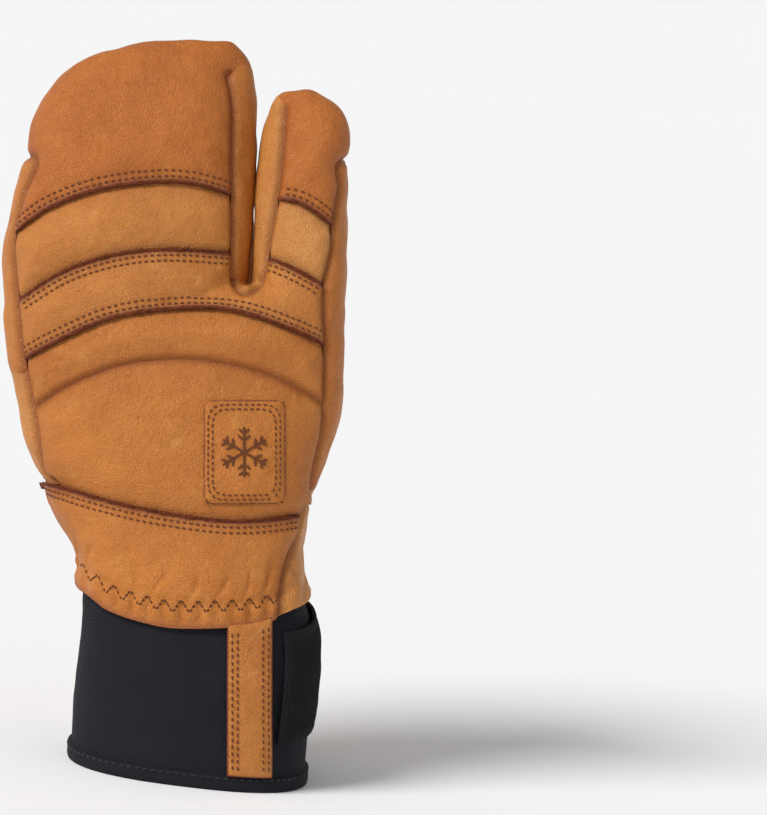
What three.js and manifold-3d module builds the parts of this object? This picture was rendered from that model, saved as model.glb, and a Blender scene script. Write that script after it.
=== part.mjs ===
// Three-finger leather ski mitten, left hand, standing on the rim of its cuff. Millimetres, +Z up.
//
// Everything is laid out in the hand frame: x across the hand towards the thumb, y from the back of the
// hand to the palm, z along the fingers. The whole hand frame then leans so that the rim stands level.
import * as THREE from 'three';
import { mergeVertices } from 'three/addons/utils/BufferGeometryUtils.js';
import Module from 'manifold-3d';

const wasm = await Module();
wasm.setup();

// ---------------------------------------------------------------- driving dimensions
const LEAN_SIDE = THREE.MathUtils.degToRad(7); // the fingers lean away from the thumb
const LEAN_BACK = THREE.MathUtils.degToRad(7); // the fingers lean towards the palm
const RIM_Z = -6.5; // where the rim's plane meets the hand frame's z axis
const ORIGIN = new THREE.Vector3(22.88, -23.6, 0); // moves the rim under the middle of the bounding box

const GAP = 0.3; // between pieces that touch
const SEAM = 0.3; // slit between two sewn panels
const FLEX_SEAM = 2.6; // slit between panels that bend apart at the knuckles
const FAR = 150; // reach of a cutting prism
const BACK = [-FAR, 0]; // depths of the back half
const PALM = [0, FAR]; // depths of the palm half
const SHARPNESS = 2.5; // exponent of the rounded sections
const RING_POINTS = 20;
const COARSE_RING_POINTS = 12;
const SLIVER = 0.12; // the cuts are smoothed by up to this, which is under half of a gap
const MIN_HALF = 1.6; // a section thinner than this is left out, and the tip is capped below it

// depths of the layers below the outer surface, as [outer face, inner face]; above it is negative
const LEATHER = [0, 1.4];
const WALL = [1.7, 4.5]; // neoprene in the cuff, insulation in the hand
const LINER = [7, 7.9];
const BADGE = [-1.4, -GAP];
const PATCH = [-1.6, -GAP];
const STRIP = [-0.1, 1.4];
const STRAP_END = [-2.3, 1.4];
const LOOP = [-1.2, -0.4];
const HOOK = [-2.3, -1.5];
const PULL_TAB = [-4.2, -2.6];
const BINDING_OUTSIDE = 0.5;
const BINDING_INSIDE = 5.8;

const BINDING_HEIGHT = 5.5;
const BINDING_SOLE = 0.9;

// closure trim on the cuff; levels are heights above the rim
const BACK_STRIP = { low: 16.3, high: 33 }; // x of its edges
const STRAP = { low: 20.8, high: 61.3, hinge: 41, end: 15.2, doubled: 23 }; // levels at y 0, then x
const HINGE_GAP = 1; // between the anchor and the strap, which folds back there
const STRAP_TILT = THREE.MathUtils.degToRad(8.7);
const PULL = { left: -3, right: 24.8, low: 27.3, high: 67.8 };
const PADS = { left: -2.4, right: 14, low: 29, high: 66 };
const HANG = { left: -14, right: 14.8, low: 25.6 };
const TAB_TOP = 25.1; // level of the line about which the hanging tab lifts
const TAB_RADIUS = 14.5;
const TAB_FACES = [0.1, 1.7]; // above the cuff's outer surface
const EYELET_CENTRE = new THREE.Vector3(-4.6, 43.1, 14.5); // on the outer surface of the cuff
const EYELET_TILT = THREE.MathUtils.degToRad(12.4); // the cuff's palm side slopes here
const EYELET_HOLE = 7.1; // in the leather
const EYELET_PROFILE = [[6, -0.9], [6.8, -0.9], [6.8, 2], [10, 2], [10, 2.4], [9.2, 3], [8, 3.3], [6.9, 3],
  [6.2, 2.5], [6, 2], [6, -0.9]]; // radius, and height along the axis
const WASHER_PROFILE = [[7.1, -0.9], [9.2, -0.9], [9.2, -0.2], [7.1, -0.2], [7.1, -0.9]];
const EYELET_SIDES = 24;

// ---------------------------------------------------------------- sections of the hand
// each section: [z, low x, high x, back y, palm y, slant]; slant 1 lies level with the rim
const ARM = [
  [-26, -47.2, 47.2, -27.2, 48.4, 1],
  [-4, -45.2, 45.4, -29.5, 45.7, 1],
  [10, -44.6, 46.4, -30.4, 42.8, 1],
  [24, -43, 48, -30.8, 39.8, 1],
  [38, -41.4, 49.2, -31, 36.4, 1],
  [50, -40.6, 49, -30.6, 33.4, 0.9],
  [60, -40.9, 46.8, -30.2, 31.4, 0.7],
  [70, -40.2, 43.6, -29.4, 29.8, 0.4],
  [80, -43.2, 43.4, -28, 28.2, 0.15],
  [90, -49, 45.8, -26.6, 26.6, 0],
  [102, -53.4, 49, -25.2, 25, 0],
  [115, -58.8, 53, -24.2, 24, 0],
  [130, -62.3, 57, -23.6, 23.4, 0],
  [145, -65.5, 57.8, -23.2, 23, 0],
  [160, -67, 58, -22.6, 22.4, 0],
  [168, -67, 58, -20.5, 20.5, 0],
  [174, -65, 56, -15, 15, 0],
];
const POUCH = [
  [140, -62, 15, -20, 19, 0],
  [158, -66, 20.4, -21.6, 21, 0],
  [176, -67.7, 21.8, -21.8, 21, 0],
  [187, -68, 22.8, -21.5, 20.6, 0],
  [199, -65.6, 23.6, -21.2, 20.3, 0],
  [211, -63, 24, -20.6, 19.9, 0],
  [223, -59.6, 24.3, -19.8, 19.3, 0],
  [236, -55.6, 24.6, -18, 17.8, 0],
  [246, -50.2, 24.6, -15.6, 15.5, 0],
  [254, -42.4, 23.4, -12.4, 12.4, 0],
  [260, -31, 20.6, -8.6, 8.6, 0],
  [264, -15, 16.4, -4.4, 4.4, 0],
];
const INDEX = [
  [140, 20, 54, -15, 14, 0],
  [160, 23.4, 57.2, -16.4, 15, 0],
  [176, 25, 58.6, -16.4, 15, 0],
  [195, 26.4, 59, -15.8, 14.8, 0],
  [216, 28, 59.6, -14.8, 14, 0],
  [228, 29.4, 60.2, -13.4, 12.8, 0],
  [236, 31, 58.4, -11.2, 11, 0],
  [242, 33, 53.6, -8, 8, 0],
  [246, 36, 46, -3.8, 3.8, 0],
];
const THUMB = [
  [86, 6, 42, -4, 14, 0],
  [96, -1, 46, 0, 25, 0],
  [106, -6.4, 48.8, 2, 36, 0],
  [118, -8.6, 50.4, 6, 46, 0],
  [130, -4.6, 51, 13, 51.5, 0],
  [140, 2, 51.6, 20, 53.6, 0],
  [150, 8.4, 52.1, 25.4, 54.4, 0],
  [162, 14.6, 52.2, 26.4, 54.6, 0],
  [177, 18.2, 51.6, 26.6, 53.8, 0],
  [192, 22.2, 50.6, 27, 52, 0],
  [202, 26.2, 49.2, 28.4, 49.6, 0],
  [209, 30.6, 47.2, 31, 46.4, 0],
  [214, 36, 44, 35, 42, 0],
];

// ---------------------------------------------------------------- seams, as [x, z] seen from the back
const SEAM_CAP = [[-80, 184], [-63, 194], [-49, 203], [-30, 209.5], [-10, 212], [4, 211.3], [19, 207],
  [30, 203]];
const SEAM_INDEX_CAP = [[24, 206], [34, 205.8], [43, 204.4], [55, 196], [66, 187]];
const SEAM_KNUCKLE = [[-80, 156], [-62, 168], [-44, 179], [-25, 185], [-6, 187], [14, 186], [29,
  184.3], [40, 180.2],
  [52, 173.2], [70, 160]];
const SEAM_BAND = [[-80, 132], [-61, 145.8], [-44, 154.7], [-25, 162.4], [-1, 165.4], [18, 164.7], [37,
  158.7],
  [52, 152], [70, 142]];
const SEAM_HAND = [[-80, 114], [-56, 128.8], [-44, 136.2], [-25, 143.9], [-6, 146.5], [13, 145.4], [33,
  140.2],
  [51, 130.6], [70, 117]];
const SEAM_WRIST = [[-80, 106], [-48, 99.9], [-30, 95.1], [-11, 90.7], [13, 87.3], [28, 87.3], [44,
  89.2], [70, 94]];
const HEM_BACK = [[-80, 74], [-41, 62.2], [-28, 54.5], [-14, 50], [0, 48], [28, 49.2], [40, 54.5], [70,
  66]];
const HEM_PALM = [[-80, 62], [-40, 67], [-10, 71], [20, 72], [48, 66], [80, 58]];
const SEAM_OUTER = [[-40, 84], [-48, 100], [-53, 105], [-56, 125], [-61, 152], [-62.5, 169], [-64,
  184], [-64, 193],
  [-60.7, 207], [-56.4, 221.6], [-80, 222.4]];
const SEAM_THUMB_SIDE = [[50, 93], [47, 100], [51, 119], [51.8, 129], [52.3, 150], [51.8, 173], [54.8, 188],
  [55.3, 197], [57.4, 210], [58.6, 220.6], [80, 221.4]];
const SEAM_THUMB_WRIST = [[34, 44], [37.4, 69], [42, 81], [45.6, 93], [60, 96]];
const CROTCH = [[16, 252], [18, 241], [18, 222], [18, 193], [17.8, 180], [19, 174], [22.8, 171.2], [27,
  174],
  [29.4, 181], [30.6, 190], [33.6, 205], [35.6, 222], [36.8, 240]];
const POUCH_PALM_TOP = [[-66, 196], [-61.4, 208], [-55.2, 222], [-48, 233], [-35, 243], [-18.5, 250.4],
  [-4, 252.6], [10.4, 249.6], [16, 244], [19, 236]];
const INDEX_PALM_TOP = [[33, 214], [34, 228], [38, 237], [46, 238], [54, 230.6], [58, 222], [60, 212]];
const FINGER_GAP = [[22.6, 100], [22.6, 160], [23.4, 176], [25, 199], [26.2, 223], [28, 240], [30, 270]];
const THUMB_GUSSET = [[2, 84], [2, 93.6], [-7, 103.6], [-9.4, 116], [-8, 126], [-3.3, 132.5], [3, 142]];
const THUMB_MIDDLE = [[2, 93], [8.5, 110.6], [15.2, 132.5], [20, 151.7], [26, 176], [32, 192], [39,
  210], [42, 222]];
const PALM_PATCH = [[-11.5, 108.4], [-28, 106.6], [-47, 98.6], [-56, 104], [-60, 122], [-62, 151],
  [-47.4, 160.2],
  [-28, 165.6], [-13.7, 162.4], [4, 152], [-1.6, 141], [-9.5, 132], [-12, 120]];
const BADGE_BOX = { low: [7.5, 93.5], high: [37, 131.5], corner: 4 };

// heights at which the outer gusset is pieced, and between which the finger roots bend
const GUSSET_LOW = 142;
const ROOT_LOW = 167;
const ROOT_HIGH = 189;
const PALM_ROOT_LOW = 169.5;
const PALM_ROOT_HIGH = 187;
const GUSSET_TOP = 221;
const THUMB_CUT = 148;
const PALM_FRONT = 24.6; // beyond this depth everything above THUMB_CUT is thumb
const PADDING_LOW = 166; // the padding is pieced a little outside the leather's own creases
const PADDING_HIGH = 190;
const PADDING_FRONT = PALM_FRONT - 1.5; // inside this depth the padding belongs to the palm and fingers
const WRIST_PALM = 93;
const SLEEVE_TOP = 68; // level of the neoprene's upper end, which rises towards the palm
const SLEEVE_RISE = THREE.MathUtils.degToRad(13);
const ELASTIC_TOP = 77;
const INSULATION_LOW = 84;
const LINER_LOW = 58;

// ---------------------------------------------------------------- materials
const finish = (colour, roughness, metalness = 0) =>
  new THREE.MeshStandardMaterial({ color: colour, roughness, metalness });
const leather = () => finish(0xc1762d, 0.75);
const paleLeather = () => finish(0xcd8c46, 0.75);
const darkLeather = () => finish(0xb06524, 0.8);
const neoprene = () => finish(0x1c1d22, 0.9);
const elastic = () => finish(0x232429, 0.85);
const hookAndLoop = () => finish(0x17181b, 0.95);
const chrome = () => finish(0xd6d8da, 0.2, 1);
const padding = () => finish(0xe8e6df, 0.95);
const fleece = () => finish(0x3a3b40, 0.95);

// ---------------------------------------------------------------- solids
const up = new THREE.Vector3(0, 0, 1);
const lean = new THREE.Matrix4()
  .makeRotationX(-LEAN_BACK)
  .multiply(new THREE.Matrix4().makeRotationY(-LEAN_SIDE));
const levelNormal = up.clone().applyMatrix4(lean.clone().invert());
const levelSlopeX = -levelNormal.x / levelNormal.z;
const levelSlopeY = -levelNormal.y / levelNormal.z;

function solid(geometry) {
  const bare = geometry.clone();
  bare.deleteAttribute('normal');
  bare.deleteAttribute('uv');
  const merged = mergeVertices(bare, 1e-4);
  return new wasm.Manifold(new wasm.Mesh({
    numProp: 3,
    vertProperties: new Float32Array(merged.attributes.position.array),
    triVerts: new Uint32Array(merged.index.array),
  }));
}

// one rounded section, as a ring of points that runs anticlockwise seen from the fingertips
function ring([z, lowX, highX, backY, palmY, slant], depth, count) {
  const middleX = (lowX + highX) / 2;
  const halfX = (highX - lowX) / 2 - depth;
  const middleY = (backY + palmY) / 2;
  const halfY = (palmY - backY) / 2 - depth;
  const points = [];
  for (let i = 0; i < count; i += 1) {
    const turn = (2 * Math.PI * i) / count;
    const cos = Math.cos(turn);
    const sin = Math.sin(turn);
    const x = middleX + halfX * Math.sign(cos) * Math.abs(cos) ** (2 / SHARPNESS);
    const y = middleY + halfY * Math.sign(sin) * Math.abs(sin) ** (2 / SHARPNESS);
    points.push([x, y, z + slant * (levelSlopeX * x + levelSlopeY * y)]);
  }
  return points;
}

// a closed tube through the sections, inset by depth; the fingertip end moves back by depth too
function tube(sections, depth, count) {
  const first = sections[0][0];
  const last = sections[sections.length - 1][0];
  const shrink = (last - depth - first) / (last - first);
  const rings = sections
    .filter((s) => (s[2] - s[1]) / 2 - depth > MIN_HALF && (s[4] - s[3]) / 2 - depth > MIN_HALF)
    .map((s) => ring([first + (s[0] - first) * shrink, ...s.slice(1)], depth, count));
  const positions = rings.flat(2);
  const triangles = [];
  for (let r = 0; r + 1 < rings.length; r += 1) {
    for (let i = 0; i < count; i += 1) {
      const a = r * count + i;
      const b = r * count + ((i + 1) % count);
      triangles.push(a, b, a + count, b, b + count, a + count);
    }
  }
  const top = (rings.length - 1) * count;
  for (let i = 1; i + 1 < count; i += 1) {
    triangles.push(0, i + 1, i, top, top + i, top + i + 1);
  }
  const geometry = new THREE.BufferGeometry();
  geometry.setAttribute('position', new THREE.Float32BufferAttribute(positions, 3));
  geometry.setIndex(triangles);
  return solid(geometry);
}

// the whole mitten's outer form, inset by depth; a coarse one leaves out every other section
function form(depth, coarse = false) {
  const count = coarse ? COARSE_RING_POINTS : RING_POINTS;
  const kept = (section, i, all) => !coarse || i % 2 === 0 || i === all.length - 1;
  return [ARM, POUCH, INDEX, THUMB]
    .map((sections) => tube(sections.filter(kept), depth, count))
    .reduce((joined, finger) => joined.add(finger));
}

// layers between two depths, open at the cuff's mouth
const layer = ([outer, inner]) => form(outer).subtract(form(inner));
const paddedLayer = ([outer, inner]) => form(outer).subtract(form(inner, true));
const coarseLayer = ([outer, inner]) => form(outer, true).subtract(form(inner, true));
const sleeve = ([outer, inner]) => tube(ARM, outer, RING_POINTS).subtract(tube(ARM, inner, RING_POINTS));

// an outline in [x, z], cut straight through from one depth to another
function prism(outline, fromY = -FAR, toY = FAR) {
  const shape = new THREE.Shape(outline.map(([x, z]) => new THREE.Vector2(x, z)));
  const block = new THREE.ExtrudeGeometry(shape, { depth: toY - fromY, bevelEnabled: false });
  const stand = new THREE.Matrix4().set(1, 0, 0, 0, 0, 0, -1, toY, 0, 1, 0, 0, 0, 0, 0, 1);
  return solid(block.applyMatrix4(stand));
}

// points along a smooth seam through the given ones
function seam(points, steps = 1) {
  const curve = new THREE.SplineCurve(points.map(([x, z]) => new THREE.Vector2(x, z)));
  return curve.getPoints((points.length - 1) * steps).map((p) => [p.x, p.y]);
}

// a thin wall along a seam, which slits the leather
function slit(points, width = SEAM, fromY = -FAR, toY = FAR) {
  const left = [];
  const right = [];
  points.forEach(([x, z], i) => {
    const [beforeX, beforeZ] = points[Math.max(i - 1, 0)];
    const [afterX, afterZ] = points[Math.min(i + 1, points.length - 1)];
    const across = new THREE.Vector2(beforeZ - afterZ, afterX - beforeX).setLength(width / 2);
    left.push([x + across.x, z + across.y]);
    right.unshift([x - across.x, z - across.y]);
  });
  return prism([...left, ...right], fromY, toY);
}

// everything fingerward of a seam that runs across the hand
function above(line, fromY, toY) {
  const start = line[0];
  const end = line[line.length - 1];
  return prism([[-FAR, start[1]], ...line, [FAR, end[1]], [FAR, 3 * FAR], [-FAR, 3 * FAR]], fromY, toY);
}
const slab = (lowZ, highZ, fromY, toY) =>
  prism([[-FAR, lowZ], [FAR, lowZ], [FAR, highZ], [-FAR, highZ]], fromY, toY);
const columns = (lowX, highX, fromY, toY) =>
  prism([[lowX, -FAR], [highX, -FAR], [highX, 2 * FAR], [lowX, 2 * FAR]], fromY, toY);
const level = (z) => [[-FAR, z], [FAR, z]];

const belowBack = (line) => slab(-FAR, 3 * FAR, ...BACK).subtract(above(line, ...BACK));

// what lies between two heights above the rim, in a plane tipped up towards the palm by tilt
function heights(low, high, tilt = 0) {
  const block = new THREE.BoxGeometry(4 * FAR, 4 * FAR, high - low).translate(0, 0, (low + high) / 2);
  block.rotateX(tilt);
  block.applyMatrix4(lean.clone().invert());
  return solid(block.translate(0, 0, RIM_Z));
}

// ---------------------------------------------------------------- the assembly
const group = new THREE.Group();

// adds a node; scraps that the cuts leave beside the piece are dropped
function add(name, body, material) {
  const [piece] = body.simplify(SLIVER).decompose().sort((a, b) => b.volume() - a.volume());
  const { vertProperties, triVerts } = piece.getMesh();
  const geometry = new THREE.BufferGeometry();
  geometry.setAttribute('position', new THREE.Float32BufferAttribute(vertProperties, 3));
  geometry.setIndex([...triVerts]);
  const mesh = new THREE.Mesh(geometry, material);
  mesh.name = name;
  group.add(mesh);
  return mesh;
}

const outerSeam = seam(SEAM_OUTER);
const thumbSideSeam = seam(SEAM_THUMB_SIDE);
const crotchSeam = seam(CROTCH);
const capSeam = seam(SEAM_CAP);
const indexCapSeam = seam(SEAM_INDEX_CAP);
const knuckleSeam = seam(SEAM_KNUCKLE);
const bandSeam = seam(SEAM_BAND);
const handSeam = seam(SEAM_HAND);
const wristSeam = seam(SEAM_WRIST);
const hemBack = seam(HEM_BACK);
const hemPalm = seam(HEM_PALM);
const pouchPalmTop = seam(POUCH_PALM_TOP);
const indexPalmTop = seam(INDEX_PALM_TOP);
const gussetSeam = seam(THUMB_GUSSET);
const thumbSeam = seam(THUMB_MIDDLE);

// regions across the hand
const outerSide = prism([...outerSeam, [-FAR, 222], [-FAR, 60]]);
const thumbSide = prism([...thumbSideSeam, [FAR, 221], [FAR, 93]]);
const crotchRegion = prism([...crotchSeam, [30, 256], [20, 256]]);
const pouchHalf = prism([...seam(FINGER_GAP), [-FAR, 2 * FAR], [-FAR, 100]]);
const indexHalf = prism([...seam(FINGER_GAP), [FAR, 2 * FAR], [FAR, 100]]);
const pouchPalmRegion = prism([...pouchPalmTop, [18, 160], [-64, 160]], ...PALM);
const indexPalmRegion = prism([...indexPalmTop, [60, 160], [30, 160]], ...PALM);
const thumbFront = slab(THUMB_CUT, 3 * FAR, PALM_FRONT, FAR);
const thumbBase = prism([...gussetSeam, [60, 142], [60, 84]], ...PALM)
  .add(slab(138, THUMB_CUT, PALM_FRONT, FAR))
  .subtract(thumbSide.intersect(slab(0, 3 * FAR, -FAR, PALM_FRONT)));

const thumbward = prism([...seam(SEAM_THUMB_WRIST), [FAR, 96], [FAR, 44]]);

function cutLeather(leatherSkin) {
  const walls = [
    slit(outerSeam),
    slit(thumbSideSeam, SEAM, -FAR, PALM_FRONT),
    slit(seam(SEAM_THUMB_WRIST), SEAM, ...BACK),
    slit(crotchSeam, SEAM, -FAR, PALM_FRONT),
    slit(capSeam, SEAM, ...BACK),
    slit(indexCapSeam, SEAM, ...BACK),
    slit(knuckleSeam, FLEX_SEAM, ...BACK),
    slit(bandSeam, SEAM, ...BACK),
    slit(handSeam, SEAM, ...BACK),
    slit(wristSeam, SEAM, ...BACK),
    slit(pouchPalmTop, SEAM, 0, PALM_FRONT),
    slit(indexPalmTop, SEAM, 0, PALM_FRONT),
    slit(gussetSeam, SEAM, ...PALM),
    slit(level(WRIST_PALM), SEAM, ...PALM),
  ];
  return walls.reduce((left, wall) => left.subtract(wall), leatherSkin);
}

const wholeSkin = layer(LEATHER);
const thumbSkin = wholeSkin.intersect(thumbFront).subtract(slit(thumbSeam));
const skin = cutLeather(wholeSkin.subtract(slab(THUMB_CUT - SEAM, 3 * FAR, PALM_FRONT - SEAM, FAR)));
const core = skin.subtract(outerSide).subtract(thumbSide).subtract(crotchRegion);
const backCore = core.intersect(slab(-FAR, 3 * FAR, ...BACK));
const palmCore = core.intersect(slab(-FAR, 3 * FAR, ...PALM)).subtract(thumbBase);

function addBack() {
  // the caps wrap over the fingertips: below the seam on the back, and below the palm's edge, they are cut off
  const fingers = skin.subtract(outerSide).subtract(thumbSide).subtract(crotchRegion);
  const belowTips = slab(-FAR, GUSSET_TOP, ...PALM);
  const pouch = fingers.intersect(pouchHalf);
  const index = fingers.intersect(indexHalf);
  add('pouch_cap', pouch.subtract(belowBack(capSeam).add(belowTips).add(pouchPalmRegion)), darkLeather());
  add('index_cap', index.subtract(belowBack(indexCapSeam).add(belowTips).add(indexPalmRegion)),
    darkLeather());
  const bands = backCore.intersect(above(knuckleSeam));
  add('pouch_band', bands.intersect(pouchHalf).subtract(above(capSeam)), leather());
  add('index_band', bands.intersect(indexHalf).subtract(above(indexCapSeam)), paleLeather());
  const hand = backCore.subtract(above(knuckleSeam)).subtract(thumbward);
  add('finger_base_band', hand.intersect(above(bandSeam)), leather());
  add('knuckle_band', hand.subtract(above(bandSeam)).intersect(above(handSeam)), leather());
  add('back_hand_panel', hand.subtract(above(handSeam)).intersect(above(wristSeam)), leather());
}

function addWrist() {
  const backOnly = slab(-FAR, 3 * FAR, ...BACK).subtract(thumbward);
  const back = skin.intersect(backOnly).subtract(above(wristSeam));
  const palm = skin.subtract(backOnly).subtract(slab(WRIST_PALM, 3 * FAR)).intersect(above(hemPalm));
  add('wrist_panel', back.intersect(above(hemBack)), leather());
  add('palm_wrist_outer', palm.intersect(columns(-FAR, 2 - SEAM / 2)), leather());
  add('palm_wrist_thumb', palm.intersect(columns(2 + SEAM / 2, FAR)), paleLeather());
}

function addSides() {
  const outer = skin.intersect(outerSide).intersect(above(wristSeam));
  add('outer_gusset_lower', outer.intersect(slab(-FAR, GUSSET_LOW - SEAM)), leather());
  add('outer_gusset_middle', outer.intersect(slab(GUSSET_LOW, ROOT_HIGH - SEAM)), leather());
  add('outer_gusset_upper', outer.intersect(slab(ROOT_HIGH, GUSSET_TOP - SEAM)), leather());
  const side = skin.intersect(thumbSide).intersect(slab(-FAR, 3 * FAR, -FAR, PALM_FRONT - SEAM));
  add('thumb_side_gusset_lower', side.intersect(slab(WRIST_PALM + SEAM, ROOT_LOW - SEAM)), leather());
  add('thumb_side_gusset_middle', side.intersect(slab(ROOT_LOW, ROOT_HIGH - SEAM)), leather());
  add('thumb_side_gusset_upper', side.intersect(slab(ROOT_HIGH, FAR * 2)), leather());
  const inner = skin.intersect(crotchRegion);
  const walls = inner.intersect(slab(ROOT_HIGH, FAR * 2));
  add('pouch_inner_wall', walls.intersect(pouchHalf), leather());
  add('index_inner_wall', walls.intersect(indexHalf), leather());
  add('crotch_gusset', inner.intersect(slab(-FAR, ROOT_HIGH - SEAM)), leather());
}

function addPalm() {
  const fingers = palmCore.intersect(slab(PALM_ROOT_HIGH, FAR * 2));
  add('pouch_palm', fingers.intersect(pouchHalf).intersect(pouchPalmRegion), leather());
  add('index_palm', fingers.intersect(indexHalf).intersect(indexPalmRegion), leather());
  const creases = palmCore.intersect(slab(PALM_ROOT_LOW + SEAM, PALM_ROOT_HIGH - SEAM));
  add('pouch_crease', creases.intersect(pouchHalf), leather());
  add('index_crease', creases.intersect(indexHalf), leather());
  add('palm_panel', palmCore.intersect(slab(WRIST_PALM + SEAM, PALM_ROOT_LOW)), leather());
  const surface = tube(ARM, PATCH[0], RING_POINTS).add(tube(POUCH, PATCH[0], RING_POINTS));
  const patch = surface.subtract(form(PATCH[1])).intersect(prism(seam(PALM_PATCH), ...PALM));
  add('palm_patch', patch, paleLeather());
}

function addBadge() {
  const { low, high, corner } = BADGE_BOX;
  const outline = new THREE.Shape();
  outline.moveTo(low[0] + corner, low[1]);
  outline.lineTo(high[0] - corner, low[1]).absarc(high[0] - corner, low[1] + corner, corner,
    -Math.PI / 2, 0);
  outline.absarc(high[0] - corner, high[1] - corner, corner, 0, Math.PI / 2);
  outline.absarc(low[0] + corner, high[1] - corner, corner, Math.PI / 2, Math.PI);
  outline.absarc(low[0] + corner, low[1] + corner, corner, Math.PI, 1.5 * Math.PI);
  const points = outline.getPoints(4).map((p) => [p.x, p.y]);
  add('badge_patch', sleeve(BADGE).intersect(prism(points.slice(0, -1), ...BACK)), paleLeather());
}

function addThumb() {
  const outerHalf = prism([...thumbSeam, [FAR, 222], [FAR, 93]]);
  add('thumb_outer', thumbSkin.intersect(outerHalf), paleLeather());
  add('thumb_inner', thumbSkin.subtract(outerHalf), leather());
  const base = skin.intersect(thumbBase).intersect(slab(WRIST_PALM, 3 * FAR)).subtract(slit(thumbSeam));
  add('thumb_base_outer', base.intersect(outerHalf), paleLeather());
  add('thumb_base_gusset', base.subtract(outerHalf), leather());
}

function addInside() {
  const wall = paddedLayer(WALL);
  const flat = wall.subtract(slab(-FAR, 3 * FAR, PADDING_FRONT, FAR));
  const hand = flat.intersect(heights(INSULATION_LOW - RIM_Z, 3 * FAR));
  add('hand_insulation', hand.subtract(slab(PADDING_LOW, 3 * FAR)), padding());
  add('finger_root_insulation', flat.intersect(slab(PADDING_LOW + GAP, PADDING_HIGH - GAP)), padding());
  const fingers = flat.intersect(slab(PADDING_HIGH, 3 * FAR));
  add('pouch_insulation', fingers.intersect(pouchHalf), padding());
  add('index_insulation', fingers.intersect(indexHalf), padding());
  add('thumb_insulation', wall.intersect(slab(THUMB_CUT, 3 * FAR, PALM_FRONT, FAR)), padding());
  add('liner_bag', coarseLayer(LINER).intersect(heights(LINER_LOW - RIM_Z, 3 * FAR)), fleece());
}

function addCuff() {
  const wall = sleeve(WALL);
  const top = heights(0, SLEEVE_TOP, SLEEVE_RISE);
  add('cuff_sleeve', wall.intersect(heights(BINDING_SOLE + GAP, 3 * FAR)).intersect(top), neoprene());
  const binding = sleeve([BINDING_OUTSIDE, BINDING_INSIDE]).intersect(heights(0, BINDING_HEIGHT));
  const pocket = sleeve([WALL[0] - GAP, WALL[1] + GAP]).intersect(heights(BINDING_SOLE, 3 * FAR));
  add('rim_binding', binding.subtract(pocket), neoprene());
  const wristBand = heights(SLEEVE_TOP + GAP, ELASTIC_TOP, SLEEVE_RISE);
  add('wrist_elastic', wall.intersect(wristBand), elastic());
}

// what lies under a hem, with a gap to it
const under = (line) => {
  const lowered = line.map(([x, z]) => [x, z - 2 * GAP]);
  return slab(-FAR, 3 * FAR).subtract(above(lowered));
};

function addBackStrip() {
  const strip = sleeve(STRIP).intersect(columns(BACK_STRIP.low, BACK_STRIP.high, ...BACK));
  add('back_strip', strip.intersect(heights(BINDING_HEIGHT + GAP, FAR)).intersect(under(hemBack)),
    leather());
}

function addStrap() {
  const band = heights(STRAP.low, STRAP.high, STRAP_TILT);
  const cuff = sleeve(STRIP).intersect(band);
  const anchored = columns(STRAP.hinge, FAR).add(columns(BACK_STRIP.high + GAP, FAR, ...BACK));
  add('strap_anchor', cuff.intersect(anchored), elastic());
  const free = cuff.intersect(columns(STRAP.end, STRAP.hinge - HINGE_GAP, ...PALM));
  const folded = sleeve(STRAP_END).intersect(band).intersect(columns(STRAP.end, STRAP.doubled, ...PALM));
  add('strap_elastic', free.add(folded), elastic());
  const tab = sleeve(PULL_TAB).intersect(columns(PULL.left, PULL.right, ...PALM));
  add('pull_tab', tab.intersect(heights(PULL.low, PULL.high)), paleLeather());
  const pads = columns(PADS.left, PADS.right, ...PALM).intersect(heights(PADS.low, PADS.high));
  add('hook_pad', sleeve(HOOK).intersect(pads), hookAndLoop());
  add('loop_pad', sleeve(LOOP).intersect(pads), hookAndLoop());
}

// turns something built about the y axis to stand on the cuff at the eyelet
function atEyelet(geometry) {
  return solid(geometry.rotateX(EYELET_TILT).translate(...EYELET_CENTRE.toArray()));
}

function lathe(profile) {
  const points = profile.map(([r, h]) => new THREE.Vector2(r, h));
  return atEyelet(new THREE.LatheGeometry(points, EYELET_SIDES));
}

function addHangingTab() {
  const strip = sleeve(STRIP).intersect(columns(HANG.left, HANG.right, ...PALM));
  add('hang_strip', strip.intersect(heights(HANG.low, FAR)).intersect(under(hemPalm)), leather());
  const outline = new THREE.Shape();
  outline.absarc(0, 0, TAB_RADIUS, Math.PI, 2 * Math.PI).lineTo(TAB_RADIUS, FAR).lineTo(-TAB_RADIUS, FAR);
  outline.holes.push(new THREE.Path().absarc(0, 0, EYELET_HOLE, 0, 2 * Math.PI, true));
  const plate = new THREE.ExtrudeGeometry(outline, {
    depth: TAB_FACES[1] - TAB_FACES[0],
    bevelEnabled: false,
    curveSegments: EYELET_SIDES,
  });
  plate.rotateX(Math.PI / 2).translate(0, TAB_FACES[1], 0);
  add('hang_tab', atEyelet(plate).intersect(heights(-FAR, TAB_TOP)), leather());
  add('eyelet', lathe(EYELET_PROFILE), chrome());
  add('eyelet_washer', lathe(WASHER_PROFILE), chrome());
}

addBack();
addWrist();
addSides();
addPalm();
addBadge();
addThumb();
addInside();
addCuff();
addBackStrip();
addStrap();
addHangingTab();
group.applyMatrix4(lean);
group.position.set(ORIGIN.x, ORIGIN.y, 0).add(new THREE.Vector3(0, 0, -RIM_Z).applyMatrix4(lean));

export default group;
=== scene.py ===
import math

import bpy
import numpy as np
from mathutils import Matrix, Vector
from mathutils.bvhtree import BVHTree
from mathutils.kdtree import KDTree

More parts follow.
